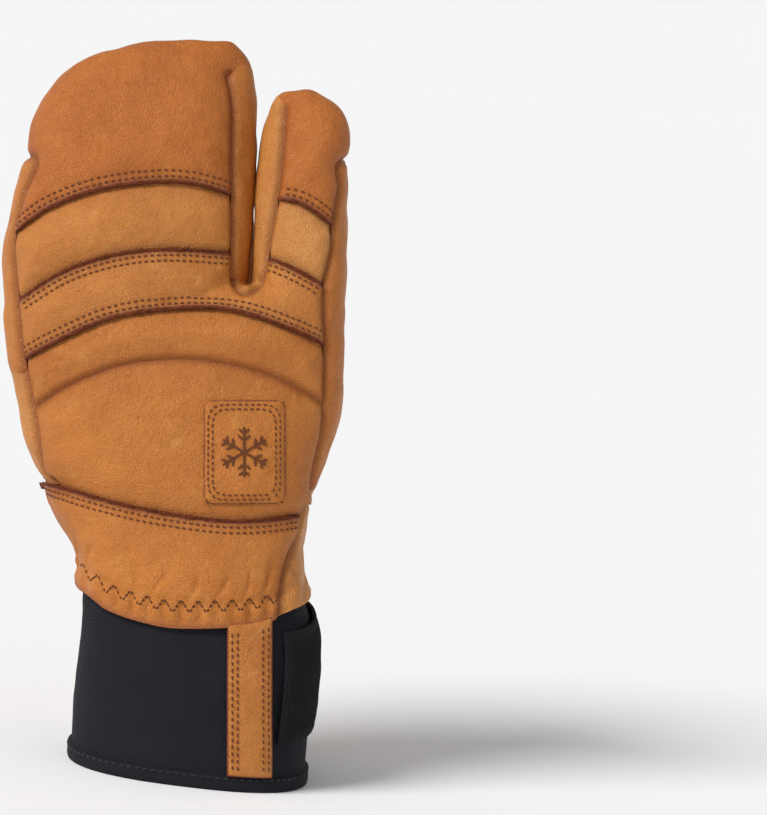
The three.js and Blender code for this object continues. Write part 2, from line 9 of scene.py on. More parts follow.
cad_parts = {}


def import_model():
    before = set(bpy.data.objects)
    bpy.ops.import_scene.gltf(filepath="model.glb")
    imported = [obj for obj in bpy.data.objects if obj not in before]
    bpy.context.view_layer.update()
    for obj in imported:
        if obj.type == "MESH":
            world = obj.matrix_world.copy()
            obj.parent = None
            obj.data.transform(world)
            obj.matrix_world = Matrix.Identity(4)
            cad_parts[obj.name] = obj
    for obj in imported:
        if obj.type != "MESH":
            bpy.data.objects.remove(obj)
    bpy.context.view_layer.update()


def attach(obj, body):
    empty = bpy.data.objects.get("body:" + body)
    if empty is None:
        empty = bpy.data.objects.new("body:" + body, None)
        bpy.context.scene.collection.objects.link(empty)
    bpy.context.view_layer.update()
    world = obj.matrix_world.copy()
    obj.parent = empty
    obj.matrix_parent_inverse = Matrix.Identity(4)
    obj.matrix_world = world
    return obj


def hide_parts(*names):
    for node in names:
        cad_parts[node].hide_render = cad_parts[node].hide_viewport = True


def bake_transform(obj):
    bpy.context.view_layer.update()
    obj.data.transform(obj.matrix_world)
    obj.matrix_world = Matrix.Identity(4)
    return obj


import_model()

# The mitten is laid out in the hand frame, in millimetres: x across the hand towards the thumb, y from
# the back of the hand to the palm, z along the fingers. world() turns that into the row's frame.
LEAN = math.radians(7)
RIM_Z = -6.5
ORIGIN = np.array([22.88, -23.6, 0.0])
TURN = np.array(Matrix.Rotation(-LEAN, 3, "X") @ Matrix.Rotation(-LEAN, 3, "Y"))
LEVEL_NORMAL = TURN.T @ np.array([0.0, 0.0, 1.0])
SLOPE_X = -LEVEL_NORMAL[0] / LEVEL_NORMAL[2]
SLOPE_Y = -LEVEL_NORMAL[1] / LEVEL_NORMAL[2]
POWER = 2.5

VOXEL = 1.15
THICK = 1.3
SNAP = 0.12

# sections, as [z, low x, high x, back y, palm y, slant]; slant 1 lies level with the rim
ARM = [
    [-26, -47.2, 47.2, -27.2, 48.4, 1], [-4, -45.2, 45.4, -29.5, 45.7, 1], [10, -44.6, 46.4, -30.4, 42.8, 1],
    [24, -43, 48, -30.8, 39.8, 1], [38, -41.4, 49.2, -31, 36.4, 1], [50, -40.6, 49, -30.6, 33.4, 0.9],
    [60, -40.9, 46.8, -30.2, 31.4, 0.7], [70, -40.2, 43.6, -29.4, 29.8, 0.4],
    [80, -43.2, 43.4, -28, 28.2, 0.15], [90, -49, 45.8, -26.6, 26.6, 0], [102, -53.4, 49, -25.2, 25, 0],
    [115, -58.8, 53, -24.2, 24, 0], [130, -62.3, 57, -23.6, 23.4, 0], [145, -65.5, 57.8, -23.2, 23, 0],
    [160, -67, 58, -22.6, 22.4, 0], [168, -67, 58, -20.5, 20.5, 0], [174, -65, 56, -15, 15, 0],
]
POUCH = [
    [140, -62, 15, -20, 19, 0], [158, -66, 20.4, -21.6, 21, 0], [176, -67.7, 21.8, -21.8, 21, 0],
    [187, -68, 22.8, -21.5, 20.6, 0], [199, -65.6, 23.6, -21.2, 20.3, 0], [211, -63, 24, -20.6, 19.9, 0],
    [223, -59.6, 24.3, -19.8, 19.3, 0], [236, -55.6, 24.6, -18, 17.8, 0], [246, -50.2, 24.6, -15.6, 15.5, 0],
    [254, -42.4, 23.4, -12.4, 12.4, 0], [260, -31, 20.6, -8.6, 8.6, 0], [264, -15, 16.4, -4.4, 4.4, 0],
]
INDEX = [
    [140, 20, 54, -15, 14, 0], [160, 23.4, 57.2, -16.4, 15, 0], [176, 25, 58.6, -16.4, 15, 0],
    [195, 26.4, 59, -15.8, 14.8, 0], [216, 28, 59.6, -14.8, 14, 0], [228, 29.4, 60.2, -13.4, 12.8, 0],
    [236, 31, 58.4, -11.2, 11, 0], [242, 33, 53.6, -8, 8, 0], [246, 36, 46, -3.8, 3.8, 0],
]
THUMB = [
    [86, 6, 42, -4, 14, 0], [96, -1, 46, 0, 25, 0], [106, -6.4, 48.8, 2, 36, 0], [118, -8.6, 50.4, 6, 46, 0],
    [130, -4.6, 51, 13, 51.5, 0], [140, 2, 51.6, 20, 53.6, 0], [150, 8.4, 52.1, 25.4, 54.4, 0],
    [162, 14.6, 52.2, 26.4, 54.6, 0], [177, 18.2, 51.6, 26.6, 53.8, 0], [192, 22.2, 50.6, 27, 52, 0],
    [202, 26.2, 49.2, 28.4, 49.6, 0], [209, 30.6, 47.2, 31, 46.4, 0], [214, 36, 44, 35, 42, 0],
]

# seams, as [x, z] seen from the back of the hand
SEAMS = {
    "cap": [[-80, 184], [-63, 194], [-49, 203], [-30, 209.5], [-10, 212], [4, 211.3], [19, 207], [30, 203]],
    "index_cap": [[24, 206], [34, 205.8], [43, 204.4], [55, 196], [66, 187]],
    "knuckle": [[-80, 156], [-62, 168], [-44, 179], [-25, 185], [-6, 187], [14, 186], [29, 184.3],
                [40, 180.2], [52, 173.2], [70, 160]],
    "band": [[-80, 132], [-61, 145.8], [-44, 154.7], [-25, 162.4], [-1, 165.4], [18, 164.7], [37, 158.7],
             [52, 152], [70, 142]],
    "hand": [[-80, 114], [-56, 128.8], [-44, 136.2], [-25, 143.9], [-6, 146.5], [13, 145.4], [33, 140.2],
             [51, 130.6], [70, 117]],
    "wrist": [[-80, 106], [-48, 99.9], [-30, 95.1], [-11, 90.7], [13, 87.3], [28, 87.3], [44, 89.2],
              [70, 94]],
    "hem_back": [[-80, 74], [-41, 62.2], [-28, 54.5], [-14, 50], [0, 48], [28, 49.2], [40, 54.5], [70, 66]],
    "hem_palm": [[-80, 62], [-40, 67], [-10, 71], [20, 72], [48, 66], [80, 58]],
    "outer": [[-40, 84], [-48, 100], [-53, 105], [-56, 125], [-61, 152], [-62.5, 169], [-64, 184], [-64, 193],
              [-60.7, 207], [-56.4, 221.6], [-80, 222.4]],
    "thumb_side": [[50, 93], [47, 100], [51, 119], [51.8, 129], [52.3, 150], [51.8, 173], [54.8, 188],
                   [55.3, 197], [57.4, 210], [58.6, 220.6], [80, 221.4]],
    "thumb_wrist": [[34, 44], [37.4, 69], [42, 81], [45.6, 93], [60, 96]],
    "crotch": [[16, 252], [18, 241], [18, 222], [18, 193], [17.8, 180], [19, 174], [22.8, 171.2], [27, 174],
               [29.4, 181], [30.6, 190], [33.6, 205], [35.6, 222], [36.8, 240]],
    "pouch_top": [[-66, 196], [-61.4, 208], [-55.2, 222], [-48, 233], [-35, 243], [-18.5, 250.4],
                  [-4, 252.6], [10.4, 249.6], [16, 244], [19, 236]],
    "index_top": [[33, 214], [34, 228], [38, 237], [46, 238], [54, 230.6], [58, 222], [60, 212]],
    "gap": [[22.6, 100], [22.6, 160], [23.4, 176], [25, 199], [26.2, 223], [28, 240], [30, 270]],
    "thumb_gusset": [[2, 84], [2, 93.6], [-7, 103.6], [-9.4, 116], [-8, 126], [-3.3, 132.5], [3, 142]],
    "thumb_middle": [[2, 93], [8.5, 110.6], [15.2, 132.5], [20, 151.7], [26, 176], [32, 192], [39, 210],
                     [42, 222]],
    "patch": [[-11.5, 108.4], [-28, 106.6], [-47, 98.6], [-56, 104], [-60, 122], [-62, 151], [-47.4, 160.2],
              [-28, 165.6], [-13.7, 162.4], [4, 152], [-1.6, 141], [-9.5, 132], [-12, 120]],
}
PALM_FRONT = 24.6
WRIST_PALM = 93
GUSSET_LOW = 142
GUSSET_TOP = 221
CROTCH_TOP = 256
FINGER_ROOT = 176
CENTRE_SEAM = 2
WRIST_SIDE_TOP = 95
TIP_LOW = 190
SPLIT_LOW = 165
OUTER_SIDE = -40
BACK_DEPTH = -30
HEM_BLEND = 15
ISLAND_FACES = 1100
SMOOTH_ROUNDS = 14
SKIN_LOW = 30
FAR = 99.0


# ------------------------------------------------------------------ numbers and meshes
def world(points):
    """Points in the hand frame as metres in the row's frame."""
    return ((np.asarray(points, float) - [0, 0, RIM_Z]) @ TURN.T + ORIGIN) / 1000


def smooth_line(points, steps=8):
    """A Catmull-Rom curve through the points."""
    p = np.array(points, float)
    padded = np.vstack([2 * p[0] - p[1], p, 2 * p[-1] - p[-2]])
    out = []
    for a, b, c, d in zip(padded, padded[1:], padded[2:], padded[3:]):
        for t in np.arange(steps) / steps:
            out.append(0.5 * (2 * b + (c - a) * t + (2 * a - 5 * b + 4 * c - d) * t**2
                              + (3 * b - a - 3 * c + d) * t**3))
    return np.vstack([out, p[-1]])


LINES = {name: smooth_line(points) for name, points in SEAMS.items()}


def rows_at(table, heights):
    """The sections at these heights, on a smooth curve through the given ones."""
    t = np.array(table, float)
    z = t[:, 0]
    slope = np.gradient(t, z, axis=0)
    i = np.clip(np.searchsorted(z, heights, "right") - 1, 0, len(z) - 2)
    h = (z[i + 1] - z[i])[:, None]
    u = (np.asarray(heights, float) - z[i])[:, None] / h
    out = (t[i] * (1 + 2 * u) * (1 - u) ** 2 + slope[i] * h * u * (1 - u) ** 2
           + t[i + 1] * u**2 * (3 - 2 * u) + slope[i + 1] * h * u**2 * (u - 1))
    out[:, 0] = heights
    return out


def ring_points(rows, angles, depth=0.0):
    """Points at these angles round these sections: an array of rows by angles by 3."""
    z, low_x, high_x, back, palm, slant = (rows[:, k][:, None] for k in range(6))
    cos, sin = np.cos(angles)[None, :], np.sin(angles)[None, :]
    x = (low_x + high_x) / 2 + ((high_x - low_x) / 2 - depth) * np.sign(cos) * np.abs(cos) ** (2 / POWER)
    y = (back + palm) / 2 + ((palm - back) / 2 - depth) * np.sign(sin) * np.abs(sin) ** (2 / POWER)
    return np.stack([x, y, z + slant * (SLOPE_X * x + SLOPE_Y * y)], -1)


def grid_faces(rows, columns, closed=False):
    r, c = np.meshgrid(np.arange(rows - 1), np.arange(columns if closed else columns - 1), indexing="ij")
    r, c = r.ravel(), c.ravel()
    n = (c + 1) % columns
    return np.stack([r * columns + c, r * columns + n, (r + 1) * columns + n, (r + 1) * columns + c], 1)


def make_mesh(name, points, faces):
    mesh = bpy.data.meshes.new(name)
    mesh.from_pydata([tuple(p) for p in points], [], [tuple(int(i) for i in f) for f in faces])
    mesh.update()
    obj = bpy.data.objects.new(name, mesh)
    bpy.context.scene.collection.objects.link(obj)
    return obj


def triangles_of(obj):
    """The evaluated mesh's points and triangles."""
    mesh = bpy.data.meshes.new_from_object(obj.evaluated_get(bpy.context.evaluated_depsgraph_get()))
    points = np.empty(len(mesh.vertices) * 3, np.float32)
    mesh.vertices.foreach_get("co", points)
    mesh.calc_loop_triangles()
    faces = np.empty(len(mesh.loop_triangles) * 3, np.int32)
    mesh.loop_triangles.foreach_get("vertices", faces)
    bpy.data.meshes.remove(mesh)
    return points.reshape(-1, 3).astype(float), faces.reshape(-1, 3)


def full_turn(sides):
    """Even angles once round."""
    return np.arange(sides) * 2 * math.pi / sides


def capped_tube(rings, sides):
    """Faces of a tube of rings with both of its ends closed."""
    last = (rings - 1) * sides
    caps = [list(range(sides)), list(range(last, last + sides))[::-1]]
    return grid_faces(rings, sides, closed=True)[:, ::-1].tolist() + caps


def torus_faces(rings, sides):
    """Faces of a tube of rings whose last ring meets its first."""
    last = (rings - 1) * sides
    meeting = [[last + i, last + (i + 1) % sides, (i + 1) % sides, i] for i in range(sides)]
    return grid_faces(rings, sides, closed=True).tolist() + meeting


def tube_mesh(table, count=88, step=2.0):
    """One of the skin's tables as a closed tube."""
    heights = np.arange(table[0][0], table[-1][0] + 0.01, step)
    grid = ring_points(rows_at(table, heights), full_turn(count))
    quads = grid_faces(len(heights), count, closed=True)
    points = grid.reshape(-1, 3)
    ends = [list(range(count))[::-1], list(range(len(points) - count, len(points)))]
    return points, [list(q) for q in quads] + ends


def edges_of(faces):
    """The triangles' edges, each in its own triangle's direction."""
    return np.vstack([faces[:, [0, 1]], faces[:, [1, 2]], faces[:, [2, 0]]])


def joined(parts):
    """Several meshes' points and faces as one."""
    points, faces, start = [], [], 0
    for p, f in parts:
        points.append(p)
        faces += [[i + start for i in face] for face in f]
        start += len(p)
    return np.vstack(points), faces


def neighbours_mean(points, faces, size):
    """For each point, the mean of its neighbours along the triangles' edges."""
    edges = edges_of(faces)
    total = np.zeros((size, points.shape[1]))
    count = np.zeros(size)
    np.add.at(total, edges[:, 0], points[edges[:, 1]])
    np.add.at(total, edges[:, 1], points[edges[:, 0]])
    np.add.at(count, edges.ravel(), 1)
    return total / np.maximum(count, 1)[:, None]


def relax(points, faces, rounds):
    """Taubin smoothing, which takes steps out of the surface without shrinking it."""
    for _ in range(rounds):
        for weight in (0.5, -0.52):
            points = points + weight * (neighbours_mean(points, faces, len(points)) - points)
    return points


def normals_of(points, faces):
    a, b, c = (points[faces[:, k]] for k in range(3))
    across = np.cross(b - a, c - a)
    total = np.zeros_like(points)
    for k in range(3):
        np.add.at(total, faces[:, k], across)
    return total / np.maximum(np.linalg.norm(total, axis=1), 1e-9)[:, None]


def distance_to(points, line):
    """Distance in the plane from each [x, z] point to a polyline."""
    a, b = line[:-1], line[1:]
    span = b - a
    t = np.einsum("pmk,mk->pm", points[:, None] - a, span) / np.maximum((span**2).sum(1), 1e-9)
    nearest = a + np.clip(t, 0, 1)[..., None] * span
    return np.sqrt(((points[:, None] - nearest) ** 2).sum(-1)).min(1)


def inside(points, polygon):
    """Which [x, z] points lie in the polygon."""
    x, z = points[:, 0][:, None], points[:, 1][:, None]
    a = np.asarray(polygon, float)
    b = np.roll(a, -1, 0)
    crosses = (a[:, 1] > z) != (b[:, 1] > z)
    drop = np.where(b[:, 1] == a[:, 1], 1e-9, b[:, 1] - a[:, 1])
    at = a[:, 0] + (z - a[:, 1]) * (b[:, 0] - a[:, 0]) / drop
    return (crosses & (x < at)).sum(1) % 2 == 1


def region(name, closing):
    return np.vstack([LINES[name], closing])


REGIONS = {
    "outer": region("outer", [[-150, 222], [-150, 60]]),
    "thumb_side": region("thumb_side", [[150, 221], [150, 93]]),
    "crotch": region("crotch", [[30, CROTCH_TOP], [20, CROTCH_TOP]]),
    "thumb_wrist": region("thumb_wrist", [[150, 96], [150, 44]]),
    "pouch_top": region("pouch_top", [[18, 160], [-64, 160]]),
    "index_top": region("index_top", [[60, 160], [30, 160]]),
    "thumb_gusset": region("thumb_gusset", [[60, 142], [60, 84]]),
    "thumb_middle": region("thumb_middle", [[150, 222], [150, 93]]),
    "patch": region("patch", [[-11.5, 108.4]]),
}


def height_on(name, x):
    """The height of this seam at each x."""
    return np.interp(x, LINES[name][:, 0], LINES[name][:, 1])


def gap_at(z):
    """The x between the pouch and the index finger at each height."""
    return np.interp(z, LINES["gap"][:, 1], LINES["gap"][:, 0])


def above(points, name):
    return points[:, 1] > height_on(name, points[:, 0])


def hem_height(points):
    """Where the leather ends, running smoothly from the back's hem to the palm's round the sides."""
    t = np.clip(points[:, 1] / (2 * HEM_BLEND) + 0.5, 0, 1)
    t = t * t * (3 - 2 * t)
    back, palm = (height_on(name, points[:, 0]) for name in ("hem_back", "hem_palm"))
    return back * (1 - t) + palm * t


# ------------------------------------------------------------------ cutting the leather into panels
def cut(points, faces, field, mask):
    """Splits the masked triangles along field = 0."""
    f = np.where(np.abs(field) < SNAP, 0.0, field)
    sign = np.sign(f[faces])
    crossing = mask & (sign.max(1) > 0) & (sign.min(1) < 0)
    made = {}
    extra = []

    def between(a, b):
        key = (a, b) if a < b else (b, a)
        if key not in made:
            t = f[key[0]] / (f[key[0]] - f[key[1]])
            made[key] = len(points) + len(extra)
            extra.append(points[key[0]] + t * (points[key[1]] - points[key[0]]))
        return made[key]

    new = []
    for tri, s in zip(faces[crossing], sign[crossing]):
        tri, s = [int(v) for v in tri], list(s)
        if 0 in s:
            k = s.index(0)
            a, b, c = tri[k], tri[(k + 1) % 3], tri[(k + 2) % 3]
            m = between(b, c)
            new += [(a, b, m), (a, m, c)]
            continue
        k = next(i for i in range(3) if s[i] != s[(i + 1) % 3] and s[i] != s[(i + 2) % 3])
        a, b, c = tri[k], tri[(k + 1) % 3], tri[(k + 2) % 3]
        p, q = between(a, b), between(a, c)
        new += [(a, p, q), (p, b, c), (p, c, q)]
    if not new:
        return points, faces
    return np.vstack([points, extra]), np.vstack([faces[~crossing], np.array(new, np.int64)])


def base_skin():
    """The mitten's outer form as one closed, even mesh."""
    points, faces = joined([tube_mesh(table) for table in (ARM, POUCH, INDEX, THUMB)])
    obj = make_mesh("form", points, faces)
    modifier = obj.modifiers.new("joined", "REMESH")
    modifier.mode = "VOXEL"
    modifier.voxel_size = VOXEL
    p, f = triangles_of(obj)
    bpy.data.objects.remove(obj)
    p = relax(p, f, SMOOTH_ROUNDS)
    keep = p[f][:, :, 2].min(1) > SKIN_LOW
    used = np.unique(f[keep])
    index = np.full(len(p), -1)
    index[used] = np.arange(len(used))
    return p[used], index[f[keep]]


def cut_all(points, faces):
    """Cuts along every seam; each cut only touches the side of the hand that its seam runs on."""
    def apply(field, side):
        nonlocal points, faces
        centre = points[faces].mean(1)
        points, faces = cut(points, faces, field(points), side(centre))

    def signed(name):
        return lambda p: distance_to(p[:, [0, 2]], LINES[name]) * np.where(
            above(p[:, [0, 2]], name), 1, -1)

    def around(name):
        return lambda p: distance_to(p[:, [0, 2]], REGIONS[name]) * np.where(
            inside(p[:, [0, 2]], REGIONS[name]), 1, -1)

    def near_hand(c):
        return c[:, 1] < PALM_FRONT

    apply(lambda p: p[:, 1], lambda c: np.ones(len(c), bool))
    apply(lambda p: p[:, 1] - PALM_FRONT, lambda c: c[:, 2] > GUSSET_LOW)
    apply(around("outer"), lambda c: c[:, 0] < 0)
    apply(around("thumb_side"), near_hand)
    apply(around("crotch"), near_hand)
    for name in ("cap", "index_cap", "knuckle", "band", "hand", "wrist"):
        apply(signed(name), lambda c: c[:, 1] < 0)
    apply(around("thumb_wrist"), lambda c: c[:, 1] < 0)
    apply(signed("wrist"), lambda c: c[:, 0] < 0)
    for name in ("pouch_top", "index_top"):
        apply(around(name), lambda c: (c[:, 1] > 0) & (c[:, 1] < PALM_FRONT) & (c[:, 2] > TIP_LOW))
    apply(around("thumb_gusset"), lambda c: c[:, 1] > 0)
    apply(around("thumb_middle"), lambda c: (c[:, 1] > 0) & (c[:, 2] > WRIST_PALM))
    apply(lambda p: p[:, 2] - WRIST_PALM, lambda c: (c[:, 1] > 0))
    apply(lambda p: p[:, 2] - hem_height(p), lambda c: c[:, 2] < WRIST_PALM)
    apply(lambda p: p[:, 0] - CENTRE_SEAM, lambda c: (c[:, 1] > 0) & (c[:, 2] < WRIST_PALM))
    apply(lambda p: p[:, 2] - GUSSET_LOW, lambda c: c[:, 0] < OUTER_SIDE)
    apply(lambda p: p[:, 2] - GUSSET_TOP, lambda c: (c[:, 1] > 0))
    apply(lambda p: p[:, 2] - FINGER_ROOT, lambda c: c[:, 1] > BACK_DEPTH)
    apply(lambda p: p[:, 0] - gap_at(p[:, 2]), lambda c: c[:, 2] > SPLIT_LOW)
    return points, faces


def label_faces(points, faces):
    """Which panel each triangle belongs to."""
    c = points[faces].mean(1)
    flat = c[:, [0, 2]]
    x, y, z = c.T
    back = y < 0
    left = x < gap_at(z)
    label = np.full(len(faces), "", dtype="<U24")

    def put(name, where):
        label[where & (label == "")] = name

    thumb = ((z > GUSSET_LOW) & (y > PALM_FRONT)) | (inside(flat, REGIONS["thumb_gusset"]) & (y > 0)
                                                      & (z > WRIST_PALM))
    outer_thumb = inside(flat, REGIONS["thumb_middle"])
    thumb_side = inside(flat, REGIONS["thumb_side"]) & (y < PALM_FRONT)
    put("thumb_side", thumb_side)
    put("thumb_outer", thumb & outer_thumb)
    put("thumb_inner", thumb)
    crotch = inside(flat, REGIONS["crotch"])
    put("crotch", crotch & (z < FINGER_ROOT))
    put("pouch_side", crotch & left)
    put("index_side", crotch)
    outer = inside(flat, REGIONS["outer"]) & above(flat, "wrist")
    put("gusset_low", outer & (z < GUSSET_LOW))
    put("gusset", outer)
    put("cuff", z < hem_height(c))
    wrist_side = inside(flat, REGIONS["thumb_wrist"]) & back
    put("palm_wrist_thumb", wrist_side & (z < WRIST_SIDE_TOP))
    put("wrist_panel", back & ~above(flat, "wrist"))
    put("back_hand", back & ~above(flat, "hand"))
    put("knuckle_band", back & ~above(flat, "band"))
    put("finger_base", back & ~above(flat, "knuckle"))
    put("pouch_band", back & left & ~above(flat, "cap"))
    put("index_band", back & ~left & ~above(flat, "index_cap"))
    put("pouch_cap", back & left)
    put("index_cap", back)
    put("palm_wrist_outer", (z < WRIST_PALM) & (x < CENTRE_SEAM))
    put("palm_wrist_thumb", z < WRIST_PALM)
    put("palm", z < FINGER_ROOT)
    put("pouch_palm", left & inside(flat, REGIONS["pouch_top"]))
    put("index_palm", ~left & inside(flat, REGIONS["index_top"]))
    put("pouch_palm", left & (z < GUSSET_TOP))
    put("index_palm", z < GUSSET_TOP)
    put("pouch_cap", left)
    put("index_cap", ~left)
    return label


def merge_islands(faces, label):
    """Gives each small stray patch of a panel to the panel that surrounds it."""
    edges = np.sort(edges_of(faces), 1)
    owner = np.tile(np.arange(len(faces)), 3)
    order = np.lexsort((edges[:, 1], edges[:, 0]))
    same = (edges[order][1:] == edges[order][:-1]).all(1)
    pairs = np.stack([owner[order][1:][same], owner[order][:-1][same]], 1)
    beside = [[] for _ in faces]
    for a, b in pairs.tolist():
        beside[a].append(b)
        beside[b].append(a)
    seen = np.zeros(len(faces), bool)
    patches = []
    for start in range(len(faces)):
        if seen[start]:
            continue
        seen[start] = True
        patch, rim = [start], []
        for at in patch:
            for other in beside[at]:
                if label[other] != label[start]:
                    rim.append(label[other])
                elif not seen[other]:
                    seen[other] = True
                    patch.append(other)
        patches.append((label[start], patch, rim))
    largest = {}
    for name, patch, _ in patches:
        largest[name] = max(largest.get(name, 0), len(patch))
    out = label.copy()
    for name, patch, rim in patches:
        if rim and len(patch) < min(ISLAND_FACES, largest[name]):
            around = sorted(set(rim), key=lambda one: (-rim.count(one), one))[0]
            out[patch] = around
    return out


skin_points, skin_faces = base_skin()
skin_points, skin_faces = cut_all(skin_points, skin_faces)
skin_label = merge_islands(skin_faces, label_faces(skin_points, skin_faces))
skin_normals = normals_of(skin_points, skin_faces)


# ------------------------------------------------------------------ relief and thickness
def ripple(points, wavelength, seed, stretch=(1, 1, 1)):
    """A smooth random wave field, from about -1 to 1."""
    random = np.random.default_rng(seed)
    q = points * np.array(stretch) * (2 * math.pi / wavelength)
    total = np.zeros(len(points))
    for _ in range(9):
        direction = random.normal(size=3)
        direction *= random.uniform(0.6, 1.3) / np.linalg.norm(direction)
        total += np.sin(q @ direction + random.uniform(0, 2 * math.pi))
    return total / 3.2


def boundary_loops(faces):
    """Closed rings of vertices round the mesh's borders, with the mesh on their left."""
    seen = {(int(a), int(b)) for a, b in edges_of(faces)}
    follow = {}
    for a, b in seen:
        if (b, a) not in seen:
            follow.setdefault(a, []).append(b)
    loops = []
    while follow:
        start = next(iter(sorted(follow)))
        loop, at = [start], start
        while at in follow:
            step = follow[at].pop()
            if not follow[at]:
                del follow[at]
            at = step
            if at == start:
                break
            loop.append(at)
        loops.append(loop)
    return [loop for loop in loops if len(loop) > 8]


def line_points(name):
    return REGIONS[name] if name == "patch" else LINES[name]


def seam_labels(points, names):
    """The nearest of these seams for each point, or '' where none is near."""
    flat = points[:, [0, 2]]
    best = np.full(len(points), 1.0)
    label = np.full(len(points), "", dtype="<U16")
    for name in names:
        d = distance_to(flat, line_points(name))
        closer = d < best - 0.02
        best[closer] = d[closer]
        label[closer] = name
    return label


def dense(points, count=4):
    """The closed ring with points put between its own."""
    after = np.roll(points, -1, 0)
    near = np.linalg.norm(after - points, axis=1) < 6
    return np.vstack([points + (after - points) * (k / count) * near[:, None] for k in range(count)])


def distance_field(points, border):
    if not len(border):
        return np.full(len(points), FAR)
    tree = KDTree(len(border))
    for i, p in enumerate(border):
        tree.insert(p, i)
    tree.balance()
    return np.array([tree.find(p)[2] for p in points])


def bell(d, width):
    """1 at d = 0, fading to nothing over the width."""
    return np.exp(-((d / width) ** 2))


# kind of border: (height at the border, width of that), for what it does to the leather beside it
RELIEF = {
    "top": (0.55, 5.0),
    "under": (-0.75, 3.0),
    "turned": (-1.7, 1.5),
    "ridge": (-0.5, 2.0),
    "hem": (0.3, 4.0),
}


def shell(points, faces, normals, thickness):
    """A closed piece: the given face, its copy inside, and a wall round each border."""
    count = len(points)
    inner = points - normals * thickness
    seen = {(int(a), int(b)) for a, b in edges_of(faces)}
    walls = [(b, a, a + count, b + count) for a, b in sorted(seen) if (b, a) not in seen]
    all_faces = [tuple(f) for f in faces.tolist()]
    all_faces += [tuple(f) for f in (faces[:, ::-1] + count).tolist()]
    return np.vstack([points, inner]), all_faces + walls


def finish_piece(name, points, faces, material, slot, moves, attribute=None, sharp=50, seam=None):
    """Makes the object in the row's frame and lets it move with its body; a piece whose movement is a bend is
    only baked in place, with no body.
    """
    obj = make_mesh(name, world(points), faces)
    obj.data.materials.append(MATERIALS[material])
    obj.data.polygons.foreach_set("use_smooth", np.ones(len(obj.data.polygons), bool))
    obj.data.set_sharp_from_angle(angle=math.radians(sharp))
    # the "seam" attribute darkens the leather towards its seams: partly burnish, partly painted shade
    for key, values in (("raw", attribute), ("seam", seam)):
        if values is not None:
            layer = obj.data.attributes.new(key, "FLOAT", "POINT")
            layer.data.foreach_set("value", np.asarray(values, np.float32))
    if moves in BENDS:
        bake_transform(obj)
    else:
        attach(obj, moves)
    return obj


BENDS = {
    "wrist_bend": ("cuff", "hand", (0, 0, 50), (0, 0, 87)),
    "pouch_bend": ("hand", "pouch", (0, 0, 187), (0, 0, 216)),
    "index_bend": ("hand", "index", (0, 0, 187), (0, 0, 216)),
    "thumb_bend": ("hand", "thumb", (26, 24, 142), (26, 44, 178)),
    "strap_bend": ("cuff", "strap", (42.5, 24, 40), (32, 30, 40)),
}


# ------------------------------------------------------------------ materials
def rgb(hex_colour):
    """Linear colour from an sRGB hex one."""
    parts = [int(hex_colour[i:i + 2], 16) / 255 for i in (0, 2, 4)]
    return tuple(v / 12.92 if v <= 0.04045 else ((v + 0.055) / 1.055) ** 2.4 for v in parts) + (1,)


# a Mix node's sockets for colours: factor, A and B, and the result
MIX_INPUTS = (0, 6, 7)
MIX_OUTPUT = 2


class Nodes:
    """Small helper that builds one material's node tree."""

    def __init__(self, name):
        self.material = bpy.data.materials.new(name)
        self.material.use_nodes = True
        self.tree = self.material.node_tree
        self.shader = self.tree.nodes["Principled BSDF"]
        self.place = self.add("ShaderNodeTexCoord").outputs["Object"]

    def add(self, kind, inputs=None, **settings):
        node = self.tree.nodes.new(kind)
        for key, value in settings.items():
            setattr(node, key, value)
        for key, value in (inputs or {}).items():
            self.connect(node.inputs[key], value)
        return node

    def connect(self, socket, value):
        """Links the socket to another, or sets it to a plain value."""
        if isinstance(value, bpy.types.NodeSocket):
            self.tree.links.new(value, socket)
        else:
            socket.default_value = value

    def attribute(self, name):
        return self.add("ShaderNodeAttribute", attribute_name=name, attribute_type="GEOMETRY").outputs["Fac"]

    def noise(self, scale, detail=3, rough=0.55, stretch=None):
        place = self.place
        if stretch:
            place = self.add("ShaderNodeMapping", {"Vector": place, "Scale": stretch}).outputs[0]
        return self.add("ShaderNodeTexNoise", {"Vector": place, "Scale": scale, "Detail": detail,
                                               "Roughness": rough}).outputs["Fac"]

    def ramp(self, value, low, high, to_low=0.0, to_high=1.0):
        return self.add("ShaderNodeMapRange", {"Value": value, "From Min": low, "From Max": high,
                                               "To Min": to_low, "To Max": to_high}).outputs["Result"]

    def mix(self, factor, a, b, blend="MIX"):
        node = self.add("ShaderNodeMix", data_type="RGBA", blend_type=blend)
        for index, value in zip(MIX_INPUTS, (factor, a, b)):
            self.connect(node.inputs[index], value)
        return node.outputs[MIX_OUTPUT]

    def math(self, operation, a, b=0.0):
        node = self.add("ShaderNodeMath", operation=operation)
        for socket, value in zip(node.inputs, (a, b)):
            self.connect(socket, value)
        return node.outputs[0]

    def bump(self, height, distance, below=None, strength=1.0):
        inputs = {"Height": height, "Distance": distance, "Strength": strength}
        if below is not None:
            inputs["Normal"] = below
        return self.add("ShaderNodeBump", inputs).outputs[0]

    def finish(self, colour, normal, **settings):
        self.tree.links.new(colour, self.shader.inputs["Base Color"])
        self.tree.links.new(normal, self.shader.inputs["Normal"])
        for key, value in settings.items():
            self.shader.inputs[key.replace("_", " ")].default_value = value
        return self.material


